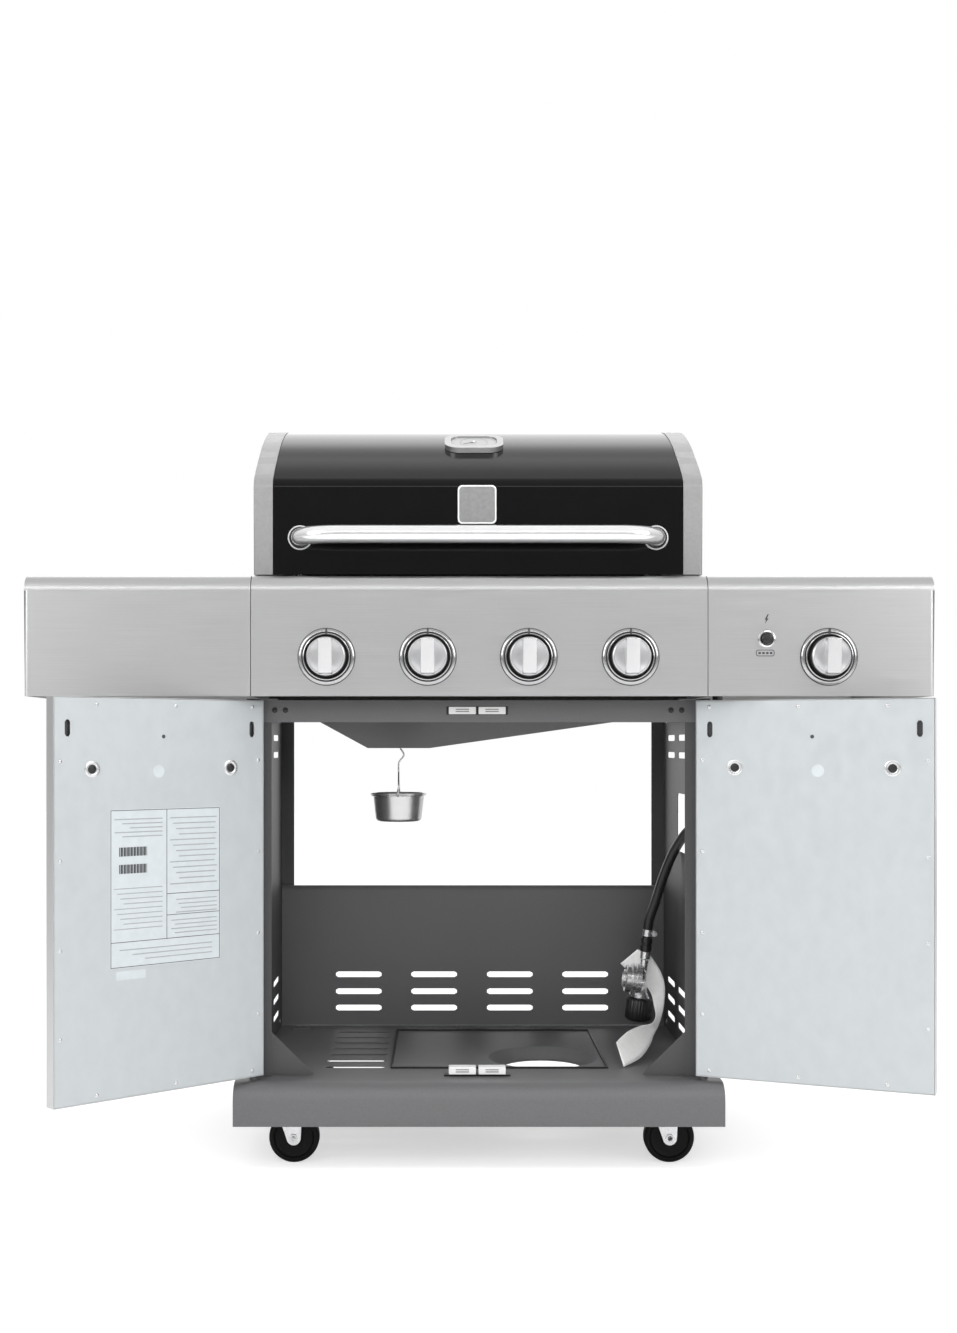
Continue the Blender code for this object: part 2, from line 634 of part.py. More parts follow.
def make_shelf(name, side):
    """Folded shelf: rolled front, plain back and end walls, open underneath."""
    start, end = side * SHELF_START, side * SHELF_END
    outline = folded(apron_outline(SHELF_BACK) + [(SHELF_BACK, APRON_BOTTOM)], -SHEET)
    shelf = piece(name, prism(outline, "X", start, end), "stainless", smooth=True)
    filled = apron_outline(SHELF_BACK)[1:] + [(SHELF_BACK, APRON_BOTTOM)]
    middle = Vector((SHELF_BACK / 2, (APRON_BOTTOM + DECK_TOP) / 2))
    filled = [middle + (Vector(p) - middle) * 0.9985 for p in filled]
    walls = bmesh.new()
    prism(filled, "X", start, start + side * SHEET, walls)
    prism(filled, "X", end - side * SHEET, end, walls)
    weld(shelf, walls, "end_walls")
    cut(shelf, block((min(start, start + side * 0.004) - THROUGH, 0.030, 0.715),
                     (max(start, start + side * 0.004) + THROUGH, 0.095, 0.785)), "manifold_window")
    if side > 0:
        cut(shelf, make_rods((SIDE_BURNER_AT,), KNOB_HIGH, 0.007, -THROUGH, THROUGH), "stem_hole")
        cut(shelf, make_rods((IGNITER_AT[0],), IGNITER_AT[1], 0.0085, -THROUGH, THROUGH),
            "igniter_hole")
        cut(shelf, block((0.400, 0.115, DECK_TOP - THROUGH), (0.615, 0.330, DECK_TOP + THROUGH)),
            "burner_window")


def make_side_burner():
    """Pan under the deck with a burner head and crossed pan supports, and its flat lid."""
    rim = DECK_TOP - SHEET - GAP
    floor = rim - 0.045
    pan = piece("side_burner", block((0.402, 0.117, floor), (0.613, 0.328, rim - SHEET / 2)),
                "stainless")
    weld(pan, block((0.392, 0.107, rim - SHEET), (0.623, 0.338, rim)), "rim")
    cut(pan, block((0.402 + SHEET, 0.117 + SHEET, floor + SHEET),
                   (0.613 - SHEET, 0.328 - SHEET, rim + THROUGH)), "inside")
    middle = (SIDE_BURNER_AT, 0.2225)
    weld(pan, prism(circle(middle, 0.034, 24), "Z", floor + SHEET / 2, floor + 0.022), "head")
    bar = 0.0025
    weld(pan, block((0.4025, middle[1] - bar, floor + 0.030), (0.6125, middle[1] + bar, rim - 0.003)),
         "long_bar")
    weld(pan, block((middle[0] - bar, 0.1175, floor + 0.030), (middle[0] + bar, 0.3275, rim - 0.003)),
         "cross_bar")
    pivot = (SIDE_BURNER_AT, 0.339, DECK_TOP + 0.0035)
    low, high = -0.0035 + GAP, 0.0
    lid = block((-0.111, -0.227, low), (0.111, -0.003, high))
    piece("side_burner_lid", lid, "stainless", at=pivot)


def make_manifold():
    """Gas rail with five valve bodies and the hose elbow."""
    rail = 0.735
    back = 0.062
    bm = prism(circle((back, rail), 0.008), "X", -0.245, 0.530)
    manifold = piece("gas_manifold", bm, "brass", smooth=True)
    bodies = bmesh.new()
    bores = bmesh.new()
    for column in BURNER_AT + (SIDE_BURNER_AT,):
        block((column - 0.011, 0.020, rail - 0.004), (column + 0.011, 0.080, 0.763), bodies)
        prism(circle((column, KNOB_HIGH), 0.0044, 12), "Y", 0.015, 0.036, bores)
    weld(manifold, bodies, "valve_bodies")
    cut(manifold, bores, "stem_bores")
    start = HOSE_ROUTE[0]
    elbow = prism(circle((start[0], start[2]), 0.0075), "Y", back, start[1] - GAP)
    weld(manifold, elbow, "hose_elbow")


def make_controls():
    """Valve stems, knobs and the igniter button."""
    columns = BURNER_AT + (SIDE_BURNER_AT,)
    for number, column in enumerate(columns, 1):
        at = (column, 0, KNOB_HIGH)
        piece(f"valve_stem_{number}", turned_to(rod(0.004, -0.018, 0.030, 12), "Y"), "zinc", at=at,
              smooth=True)
        profile = ((0.0042, -0.0065), (KNOB_RADIUS - 0.001, -0.0065), (KNOB_RADIUS, -0.010),
                   (KNOB_RADIUS - 0.002, -0.020), (0.0042, -0.020))
        knob = piece(f"knob_{number}", turned_to(lathe(profile, 20), "Y"), "black_plastic", at=at,
                     smooth=True)
        grip = ((-0.012, -0.0185), (0.012, -0.0185), (0.009, -0.040), (-0.009, -0.040))
        weld(knob, prism(grip, "Z", -0.026, 0.026), "grip")
    button = lathe(((0, -0.012), (0.0065, -0.012), (0.008, -0.010), (0.008, 0.020), (0, 0.020)), 20)
    piece("igniter_button", turned_to(button, "Y"), "black_plastic",
          at=(IGNITER_AT[0], 0, IGNITER_AT[1]), smooth=True)


# ---------------------------------------------------------------- lid

def lid_curve(grow=0.0, rear=0.905):
    """Side view of the lid from its front lower edge over the top to the back."""
    bend = arc((LID_FRONT + 0.020, 1.008), 0.020, 180, 128, 4)
    over = ((0.1125, 1.0415), (0.1480, 1.0640), (0.1960, 1.0925), (0.2520, 1.1175), (0.3060, 1.1345),
            (0.3550, 1.1390), (0.4050, 1.1280), (0.4550, 1.0950), (0.4880, 1.0420), (LID_BACK, 0.9750))
    points = [(LID_FRONT, LID_BOTTOM)] + bend[:-1]
    points += [tuple(p) for p in smooth_path([bend[-1]] + list(over), 3)]
    points.append((LID_BACK, rear))
    outline = folded(points, grow)
    return list(reversed(outline[len(points):])) if grow else points


def make_lid():
    """Hood sheet, two cast end caps, the bow handle and the thermometer."""
    curve = lid_curve()
    hood = prism(folded(curve, -SHEET), "X", -HOOD_HALF, HOOD_HALF)
    pivot = (0, *LID_PIVOT)
    back_to_pivot = Matrix.Translation([-c for c in pivot])
    bmesh.ops.transform(hood, matrix=back_to_pivot, verts=hood.verts)
    piece("lid_hood", hood, "black_enamel", at=pivot, smooth=True)
    proud = lid_curve(grow=0.0012)
    plate = proud + [(LID_BACK + 0.0012, LID_BOTTOM)]
    for name, side in (("left_lid_end_cap", -1), ("right_lid_end_cap", 1)):
        band = prism(folded(proud, -WALL), "X", side * (HOOD_HALF + GAP), side * (CAP_HALF - SHEET))
        bmesh.ops.transform(band, matrix=back_to_pivot, verts=band.verts)
        cap = piece(name, band, "cast_grey", at=pivot, smooth=True)
        cheek = prism(plate, "X", side * (CAP_HALF - WALL), side * CAP_HALF)
        bmesh.ops.transform(cheek, matrix=back_to_pivot, verts=cheek.verts)
        weld(cap, cheek, "cheek")
        bore = prism(circle((0, 0), 0.0045), "X", side * (CAP_HALF - 0.008), side * (CAP_HALF + 0.008))
        cut(cap, bore, "pin_bore")
    handle = tube(eased_bow(0.267, 0.044, 0.062), 0.0135, 14)
    foot = Vector((0, LID_FRONT - GAP, 0.933))
    bmesh.ops.translate(handle, vec=foot - Vector(pivot), verts=handle.verts)
    piece("lid_handle", handle, "chrome", at=pivot, smooth=True)
    make_thermometer(curve, pivot, back_to_pivot)


def make_thermometer(curve, pivot, back_to_pivot):
    """Rounded gauge on the lid's front slope, its back shaped to the hood."""
    slope = math.atan2(1.1175 - 1.0640, 0.252 - 0.148)
    half_wide, half_long, corner = 0.046, 0.036, 0.024
    outline = []
    for quarter, (sx, sy) in enumerate(((1, 1), (-1, 1), (-1, -1), (1, -1))):
        centre = (sx * (half_wide - corner), sy * (half_long - corner))
        outline += arc(centre, corner, 90 * quarter, 90 * quarter + 90, 5)
    gauge = prism(outline, "Z", -0.006, 0.0075)
    stand = Matrix.Translation((-0.004, 0.199, 1.0942)) @ Matrix.Rotation(slope, 4, "X")
    bmesh.ops.transform(gauge, matrix=back_to_pivot @ stand, verts=gauge.verts)
    thermometer = piece("lid_thermometer", gauge, "chrome", at=pivot, smooth=True)
    under = prism(folded(lid_curve(grow=GAP), -0.030), "X", -0.080, 0.080)
    bmesh.ops.transform(under, matrix=back_to_pivot, verts=under.verts)
    cut(thermometer, under, "hood_shape")


# ---------------------------------------------------------------- doors

def make_door(name, side, turn):
    """Stainless skin, screwed inner pan and bow handle, all about the hinge pin."""
    at = (side * DOOR_PIVOT[0], DOOR_PIVOT[1], 0)
    rotation = (0, 0, turn)

    def along(u):
        return side * (DOOR_EDGE - u)

    def slab(inset, near, far, low=0.0, high=0.0):
        ends = sorted((along(inset), along(DOOR_WIDE - inset)))
        return block((ends[0], near, DOOR_BOTTOM + inset + low), (ends[1], far, DOOR_TOP - inset + high))

    skin = piece(name + "_skin", slab(0, DOOR_OUTER, DOOR_INNER), "stainless", at, rotation)
    cut(skin, slab(THIN, DOOR_OUTER + THIN, DOOR_INNER + THROUGH), "inside")
    cut(skin, prism(circle((0, 0), 0.0029), "Z", DOOR_BOTTOM - THROUGH, DOOR_TOP + THROUGH), "pin_bore")
    pan = piece(name + "_pan", slab(THIN + GAP, 0.006, DOOR_INNER), "galvanized", at, rotation)
    cut(pan, slab(2 * THIN + GAP, 0.002, DOOR_INNER - THIN), "inside")
    holes = bmesh.new()
    for u in (0.021, 0.319):
        slot = [(along(u) + b, 0.645 + a) for a, b in stadium((0, 0), 0.024, 0.008)]
        prism(slot, "Y", DOOR_INNER - THROUGH, DOOR_INNER + THROUGH, holes)
    for u in (0.058, 0.282):
        prism(circle((along(u), 0.589), 0.0065), "Y", DOOR_INNER - THROUGH, DOOR_INNER + THROUGH, holes)
    prism(circle((along(0.170), 0.634), 0.003, 8), "Y", DOOR_INNER - THROUGH, DOOR_INNER + THROUGH,
          holes)
    cut(pan, holes, "holes")
    handle = tube(bow(0.112, 0.035, 0.018, 4), 0.008, 12)
    bmesh.ops.translate(handle, vec=(along(0.170), DOOR_OUTER - GAP, 0.589), verts=handle.verts)
    piece(name + "_handle", handle, "chrome", at, rotation, smooth=True)


# ---------------------------------------------------------------- casters, hose and regulator

def make_caster(name, x, y):
    """Swivel fork with its axle, and the wheel, which turns about the axle."""
    axle = Vector((TRAIL, 0, WHEEL_RADIUS))
    crown = lathe(((0, 0.0790), (0.019, 0.0790), (0.019, 0.0865), (0.0050, 0.0865),
                   (0.0050, 0.1060), (0, 0.1060)), 16)
    fork = piece(f"caster_fork_{name}", crown, "zinc", at=(x, y, 0), smooth=True)
    tip = arc((axle.x, axle.z), 0.0105, -150, -10, 6)
    cheek = [(axle.x - 0.026, 0.0815)] + tip + [(axle.x + 0.0125, 0.0815)]
    cheeks = bmesh.new()
    inner = WHEEL_HALF + 0.0008
    for side in (-1, 1):
        prism(cheek, "Y", side * inner, side * (inner + 0.0025), cheeks)
    weld(fork, cheeks, "cheeks")
    bolt = turned_to(rod(0.004, -inner - 0.0045, inner + 0.0045, 12), "Y", axle)
    weld(fork, bolt, "axle")
    edge = 0.004
    profile = ((0.0044, -WHEEL_HALF), (WHEEL_RADIUS - edge, -WHEEL_HALF),
               (WHEEL_RADIUS, -WHEEL_HALF + edge))
    wheel_profile = profile + tuple((r, -h) for r, h in reversed(profile))
    wheel = turned_to(lathe(wheel_profile, 32), "Y")
    piece(f"caster_wheel_{name}", wheel, "black_rubber", at=Vector((x, y, 0)) + axle, smooth=True)


def make_hose():
    """Rubber hose from the manifold elbow, through the side panel, to the regulator."""
    points = smooth_path(HOSE_ROUTE, 2)
    curve = bpy.data.curves.new("gas_hose", "CURVE")
    curve.dimensions = "3D"
    curve.bevel_depth = HOSE_RADIUS
    curve.bevel_resolution = 3
    curve.use_fill_caps = True
    curve.render_resolution_u = 0
    spline = curve.splines.new("POLY")
    spline.points.add(len(points) - 1)
    for knot, point in zip(spline.points, points):
        knot.co = (*point, 1.0)
    paint(hang("gas_hose", curve, (0, 0, 0), (0, 0, 0)), "black_rubber")


def make_regulator():
    """Pressure regulator on the hose's end, and the hand nut that fits the tank valve."""
    at = HOSE_ROUTE[-1]
    turn = Euler((0, REGULATOR_TILT, 0))
    tail = lathe(((0, -GAP), (0.0095, -GAP), (0.0095, -0.034), (0.0070, -0.036), (0.0070, -0.070),
                  (0.0090, -0.082), (0.0165, -0.0985), (0, -0.0985)), 20)
    regulator = piece("regulator", tail, "zinc", at, turn, smooth=True)
    drum = lathe(((0, -0.026), (0.022, -0.026), (0.026, -0.018), (0.026, 0.004), (0.020, 0.010),
                  (0, 0.010)), 24)
    weld(regulator, turned_to(drum, "X", (-0.006, 0, -0.070)), "drum")
    nut = lathe(((0, -0.0988), (0.018, -0.0988), (0.023, -0.104), (0.0225, -0.132), (0.018, -0.1372),
                 (0, -0.1372)), 24)
    piece("hand_nut", nut, "black_plastic", at, turn, smooth=True)


make_cart_base()
make_tank_tray()
make_side_panel("left_side_panel", -1)
make_side_panel("right_side_panel", 1)
make_back_panel()
make_front_header()
make_magnet_catches()
make_firebox()
make_burner_set()
make_flame_tamers()
make_grates()
make_grease_tray()
make_grease_cup()
make_control_panel()
make_shelf("left_shelf", -1)
make_shelf("right_shelf", 1)
make_side_burner()
make_manifold()
make_controls()
make_lid()
make_door("left_door", -1, LEFT_DOOR_OPEN)
make_door("right_door", 1, RIGHT_DOOR_OPEN)
for caster, (caster_x, caster_y) in CASTERS.items():
    make_caster(caster, caster_x, caster_y)
make_hose()
make_regulator()
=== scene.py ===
"""Fine surfaces, materials, light and camera of the gas barbecue grill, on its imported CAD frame."""

import json
import math

import bmesh
import bpy
from mathutils import Matrix, Vector

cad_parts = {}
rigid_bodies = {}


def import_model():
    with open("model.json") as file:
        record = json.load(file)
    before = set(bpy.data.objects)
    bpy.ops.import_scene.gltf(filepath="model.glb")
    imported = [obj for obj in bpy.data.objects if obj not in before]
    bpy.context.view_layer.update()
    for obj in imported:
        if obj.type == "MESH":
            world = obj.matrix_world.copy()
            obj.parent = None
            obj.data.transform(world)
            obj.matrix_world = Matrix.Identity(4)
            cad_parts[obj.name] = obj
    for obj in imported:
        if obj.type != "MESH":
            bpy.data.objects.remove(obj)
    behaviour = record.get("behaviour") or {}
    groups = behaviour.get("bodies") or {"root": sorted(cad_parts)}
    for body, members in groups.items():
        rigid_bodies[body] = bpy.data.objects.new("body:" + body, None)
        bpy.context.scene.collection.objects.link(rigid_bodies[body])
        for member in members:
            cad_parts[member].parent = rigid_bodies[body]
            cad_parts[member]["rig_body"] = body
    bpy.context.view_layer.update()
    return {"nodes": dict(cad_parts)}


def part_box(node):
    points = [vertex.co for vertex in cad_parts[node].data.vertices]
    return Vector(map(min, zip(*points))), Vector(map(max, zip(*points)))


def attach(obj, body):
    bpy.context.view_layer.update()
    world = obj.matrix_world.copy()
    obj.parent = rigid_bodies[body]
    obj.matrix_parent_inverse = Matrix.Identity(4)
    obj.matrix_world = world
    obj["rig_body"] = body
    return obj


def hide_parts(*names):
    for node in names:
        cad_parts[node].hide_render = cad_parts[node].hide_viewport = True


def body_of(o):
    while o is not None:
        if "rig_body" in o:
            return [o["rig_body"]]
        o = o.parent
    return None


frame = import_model()
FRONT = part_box("control_panel")[0].y      # the control panel's face
GRILL = Matrix.Translation((0, FRONT, 0))


def span(node):
    """Lowest and highest corner of a node, Y from the panel's face, without float noise."""
    return [tuple(round(v, 4) for v in (c.x, c.y - FRONT, c.z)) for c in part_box(node)]


def middle_of(node):
    return tuple((a + b) / 2 for a, b in zip(*span(node)))


# Measures that the pieces share with the CAD, with Y counted from the control panel's face
SHEET = 0.0015
GAP = 0.0003
APRON_BOTTOM = span("control_panel")[0][2]
PANEL_HALF, PANEL_BACK, DECK_TOP = span("control_panel")[1]
SHELF_START = span("right_shelf")[0][0]
SHELF_END, SHELF_BACK = span("right_shelf")[1][:2]
ROLL = 0.0235
FLOOR = span("tank_tray")[1][2] + GAP
TRAY_EAR = 0.015
LID_FRONT, LID_BOTTOM = span("lid_hood")[0][1:]
HOOD_HALF, LID_BACK = span("lid_hood")[1][:2]
LID_HINGE = (0.488, 0.888)
CAP_HALF = span("right_lid_end_cap")[1][0]
CAP_PROUD = 0.0012
CAP_WALL = 0.003
HANDLE_HALF = 0.267
HANDLE_HIGH = middle_of("lid_handle")[2]
DOOR_PIVOT = (0.334, 0.052)
DOOR_TURNS = {"left_door": math.radians(-139), "right_door": math.radians(157)}
DOOR_EDGE = 0.008
DOOR_BOTTOM = span("left_door_skin")[0][2]
DOOR_TOP = span("left_door_skin")[1][2]
DOOR_INNER = 0.015
DOOR_OUTER = -0.005
DOOR_HANDLE_HIGH = middle_of("left_door_handle")[2]
BURNER_AT = [middle_of(f"knob_{number}")[0] for number in range(1, 5)]
SIDE_BURNER_AT = middle_of("knob_5")[0]
KNOB_HIGH = middle_of("knob_1")[2]
IGNITER_AT = middle_of("igniter_button")[::2]
WHEEL_RADIUS = middle_of("caster_wheel_front_left")[2]
WHEEL_HALF = 0.012
TRAIL = 0.012
CASTERS = ("front_left", "front_right", "rear_left", "rear_right")
REGULATOR_TILT = math.radians(6.5)

# ---------------------------------------------------------------- camera

camera_data = bpy.data.cameras.new("camera")
camera_data.lens = 42.8
camera_data.sensor_width = 36
camera_data.shift_x = 0.0263
camera_data.shift_y = 0.0589
camera = bpy.data.objects.new("camera", camera_data)
camera.location = (-0.052, FRONT - 2.30, 0.622)
camera.rotation_euler = (math.pi / 2, 0, 0)
bpy.context.collection.objects.link(camera)
bpy.context.scene.camera = camera
bpy.context.scene.view_settings.view_transform = "Standard"


# ---------------------------------------------------------------- materials

def surface(name, colour, metallic, roughness, scale=(90, 90, 90), vary=0.05, rough_vary=0.04,
            bump=0.0, fine=None, specular=0.5, detail=4.0):
    """Principled material whose colour, roughness and relief follow noise in object space."""
    material = bpy.data.materials.new(name)
    material.use_nodes = True
    nodes = material.node_tree.nodes
    link = material.node_tree.links.new
    shader = nodes["Principled BSDF"]
    shader.inputs["Metallic"].default_value = metallic
    shader.inputs["Specular IOR Level"].default_value = specular
    coords = nodes.new("ShaderNodeTexCoord")
    mapping = nodes.new("ShaderNodeMapping")
    mapping.inputs["Scale"].default_value = scale
    link(coords.outputs["Object"], mapping.inputs["Vector"])
    noise = nodes.new("ShaderNodeTexNoise")
    noise.inputs["Scale"].default_value = 1.0
    noise.inputs["Detail"].default_value = detail
    link(mapping.outputs["Vector"], noise.inputs["Vector"])
    tones = nodes.new("ShaderNodeValToRGB")
    tones.color_ramp.elements[0].position = 0.3
    tones.color_ramp.elements[1].position = 0.7
    tones.color_ramp.elements[0].color = (*[c * (1 - vary) for c in colour], 1)
    tones.color_ramp.elements[1].color = (*[min(1, c * (1 + vary)) for c in colour], 1)
    link(noise.outputs["Fac"], tones.inputs["Fac"])
    link(tones.outputs["Color"], shader.inputs["Base Color"])
    rough = nodes.new("ShaderNodeMapRange")
    rough.inputs["From Min"].default_value = 0.3
    rough.inputs["From Max"].default_value = 0.7
    rough.inputs["To Min"].default_value = max(0.02, roughness - rough_vary)
    rough.inputs["To Max"].default_value = roughness + rough_vary
    link(noise.outputs["Fac"], rough.inputs["Value"])
    link(rough.outputs["Result"], shader.inputs["Roughness"])
    if bump:
        relief = nodes.new("ShaderNodeTexNoise")
        relief.inputs["Scale"].default_value = 1.0
        relief.inputs["Detail"].default_value = 3.0
        spread = nodes.new("ShaderNodeMapping")
        spread.inputs["Scale"].default_value = fine or scale
        link(coords.outputs["Object"], spread.inputs["Vector"])
        link(spread.outputs["Vector"], relief.inputs["Vector"])
        raised = nodes.new("ShaderNodeBump")
        raised.inputs["Strength"].default_value = 0.6
        raised.inputs["Distance"].default_value = bump
        link(relief.outputs["Fac"], raised.inputs["Height"])
        link(raised.outputs["Normal"], shader.inputs["Normal"])
    return material


def powder(name, colour):
    """Powder coat: a dull, finely pebbled paint."""
    return surface(name, colour, 0.15, 0.50, (500, 500, 500), 0.08, 0.05, 0.00006, (1100, 1100, 1100))


STAINLESS = surface("stainless", (0.63, 0.63, 0.635), 1.0, 0.36, (9, 900, 900), 0.035, 0.04,
                    0.00002, (14, 1500, 1500))
CHROME = surface("chrome", (0.83, 0.83, 0.84), 1.0, 0.09, (40, 40, 40), 0.03, 0.02)
HANDLE = surface("handle_chrome", (0.92, 0.92, 0.93), 0.80, 0.15, (30, 30, 30), 0.02, 0.02, detail=1.0)
ROSETTE = surface("rosette", (0.88, 0.88, 0.89), 0.55, 0.22, (30, 30, 30), 0.02, 0.02, detail=1.0)
SATIN_CAP = surface("satin_knob_cap", (0.66, 0.66, 0.67), 0.9, 0.30, (25, 25, 25), 0.02, 0.03,
                    detail=1.0)
BEZEL = surface("knob_bezel", (0.50, 0.50, 0.505), 1.0, 0.15, (30, 30, 30), 0.02, 0.02, detail=1.0)
GAUGE = surface("gauge_case", (0.50, 0.50, 0.50), 0.9, 0.32, (30, 30, 30), 0.02, 0.02, detail=1.0)
GRIP = surface("knob_grip", (0.78, 0.78, 0.79), 0.75, 0.22, (25, 25, 25), 0.02, 0.03, detail=1.0)
GALVANIZED = surface("galvanized", (0.495, 0.524, 0.536), 0.35, 0.42, (55, 55, 40), 0.03, 0.05,
                     0.00005, (160, 160, 160))
CUP_METAL = surface("cup_metal", (0.66, 0.66, 0.66), 0.95, 0.33, (25, 25, 60), 0.02, 0.02, detail=1.0)
ENAMEL = surface("black_enamel", (0.002, 0.002, 0.002), 0.0, 0.10, (30, 30, 30), 0.15, 0.02,
                 0.00002, (220, 220, 220), specular=0.22)
CAST_GREY = surface("cast_grey", (0.325, 0.325, 0.325), 0.55, 0.42, (300, 300, 300), 0.05, 0.05,
                    0.00006, (700, 700, 700))
FIREBOX_GREY = surface("firebox_grey", (0.10, 0.10, 0.10), 0.1, 0.62, (160, 160, 160), 0.15, 0.06,
                       0.00015, (500, 500, 500))
POWDER = powder("dark_powder", (0.125, 0.125, 0.129))
# Painted shade: a darker copy of the dark powder coat for the side panels, whose inner faces stand in
# shade
SHADED_SIDE_POWDER = powder("side_powder_painted_shade", (0.066, 0.066, 0.068))
TRAY_POWDER = powder("tray_powder", (0.088, 0.088, 0.090))
IRON = surface("cast_iron", (0.035, 0.034, 0.033), 0.2, 0.62, (260, 260, 260), 0.25, 0.08,
               0.0002, (420, 420, 420))
BRASS = surface("brass", (0.60, 0.46, 0.22), 1.0, 0.34, (120, 120, 120), 0.07, 0.06)
RUBBER = surface("black_rubber", (0.014, 0.014, 0.014), 0.0, 0.38, (240, 240, 240), 0.2, 0.06,
                 0.00004, (600, 600, 600))
TREAD = surface("caster_tread", (0.003, 0.003, 0.003), 0.0, 0.45, (300, 300, 300), 0.2, 0.05,
                specular=0.15)
PLASTIC = surface("black_plastic", (0.012, 0.012, 0.0125), 0.0, 0.34, (700, 700, 700), 0.2, 0.05,
                  0.00003, (900, 900, 900))
ZINC = surface("zinc", (0.74, 0.74, 0.75), 0.95, 0.27, (70, 70, 70), 0.04, 0.04)
# Painted shade: a dark material for the shade rings round and inside the knob bezels
DARK_RING_SHADE = surface("painted_shade_dark_steel", (0.07, 0.07, 0.07), 0.6, 0.45, (300, 300, 300), 0.15, 0.05)
WHITE_PLASTIC = surface("white_plastic", (0.80, 0.80, 0.80), 0.0, 0.40, (400, 400, 400), 0.03, 0.04)
PAPER = surface("paper", (0.94, 0.94, 0.93), 0.0, 0.60, (150, 150, 150), 0.03, 0.05)
LABEL = surface("label", (0.54, 0.58, 0.60), 0.0, 0.55, (90, 90, 90), 0.03, 0.05)
INK = surface("ink", (0.05, 0.05, 0.055), 0.0, 0.5, (400, 400, 400), 0.15, 0.05)
PALE_INK = surface("pale_ink", (0.33, 0.35, 0.36), 0.0, 0.5, (400, 400, 400), 0.08, 0.05)
BADGE_GREY = surface("badge_grey", (0.30, 0.30, 0.30), 0.5, 0.35, (200, 200, 200), 0.08, 0.05)
DIAL = surface("dial", (0.36, 0.36, 0.36), 0.3, 0.35, (200, 200, 200), 0.04, 0.04)


# ---------------------------------------------------------------- outlines

def arc(centre, radius, start, end, steps):
    angles = [math.radians(start + (end - start) * i / steps) for i in range(steps + 1)]
    return [(centre[0] + radius * math.cos(a), centre[1] + radius * math.sin(a)) for a in angles]


def circle(centre, radius, steps=40):
    return arc(centre, radius, 0, 360, steps)[:-1]


def stadium(centre, long, high, steps=10):
    radius = high / 2
    reach = long / 2 - radius
    return (arc((centre[0] + reach, centre[1]), radius, -90, 90, steps)
            + arc((centre[0] - reach, centre[1]), radius, 90, 270, steps))


def rounded(centre, wide, high, corner, steps=6):
    """Rectangle with round corners."""
    outline = []
    for quarter, (sx, sy) in enumerate(((1, 1), (-1, 1), (-1, -1), (1, -1))):
        middle = (centre[0] + sx * (wide / 2 - corner), centre[1] + sy * (high / 2 - corner))
        outline += arc(middle, corner, 90 * quarter, 90 * quarter + 90, steps)
    return outline


def folded(points, thickness):
    """Outline of a bent sheet, its second face to the left of the points."""
    vectors = [Vector(p) for p in points]
    runs = [(b - a).normalized() for a, b in zip(vectors, vectors[1:])]
    lefts = [Vector((-run.y, run.x)) for run in runs]
    other = []
    for point, before, after in zip(vectors, lefts[:1] + lefts, lefts + lefts[-1:]):
        other.append(point + (before + after) * thickness / (1 + before.dot(after)))
    return [tuple(p) for p in vectors] + [tuple(p) for p in reversed(other)]


def smooth_path(points, steps):
    """Catmull-Rom curve through the points."""
    ends = [Vector(points[0])] + [Vector(p) for p in points] + [Vector(points[-1])]
    path = []
    for a, b, c, d in zip(ends, ends[1:], ends[2:], ends[3:]):
        for i in range(steps):
            t = i / steps
            path.append(0.5 * (2 * b + (c - a) * t + (2 * a - 5 * b + 4 * c - d) * t * t
                               + (3 * b - a - 3 * c + d) * t ** 3))
    return path + [ends[-1]]


# ---------------------------------------------------------------- solids

def prism(outline, axis, start, end, bm=None):
    """Extrude an outline along an axis; the outline holds the other two axes in order."""
    bm = bm or bmesh.new()
    place = {"X": lambda p, s: (s, p[0], p[1]), "Y": lambda p, s: (p[0], s, p[1]),
             "Z": lambda p, s: (p[0], p[1], s)}[axis]
    near = [bm.verts.new(place(p, start)) for p in outline]
    far = [bm.verts.new(place(p, end)) for p in outline]
    bm.faces.new(near)
    bm.faces.new(list(reversed(far)))
    for i in range(len(outline)):
        j = (i + 1) % len(outline)
        bm.faces.new((near[j], near[i], far[i], far[j]))
    return bm


def block(low, high, bm=None):
    outline = ((low[0], low[1]), (high[0], low[1]), (high[0], high[1]), (low[0], high[1]))
    return prism(outline, "Z", low[2], high[2], bm)


def lathe(profile, sides=64, bm=None):
    """Turn (radius, height) points about Z; a profile clear of the axis makes a ring."""
    bm = bm or bmesh.new()
    rings = []
    for radius, height in profile:
        turns = [2 * math.pi * i / sides for i in range(sides if radius > 0 else 1)]
        rings.append([bm.verts.new((radius * math.cos(t), radius * math.sin(t), height))
                      for t in turns])
    pairs = list(zip(rings, rings[1:]))
    if profile[0][0] > 0:
        pairs.append((rings[-1], rings[0]))
    for lower, upper in pairs:
        for i in range(sides):
            j = (i + 1) % sides
            corners = [lower[i % len(lower)], lower[j % len(lower)],
                       upper[j % len(upper)], upper[i % len(upper)]]
            bm.faces.new(list(dict.fromkeys(corners)))
    return bm


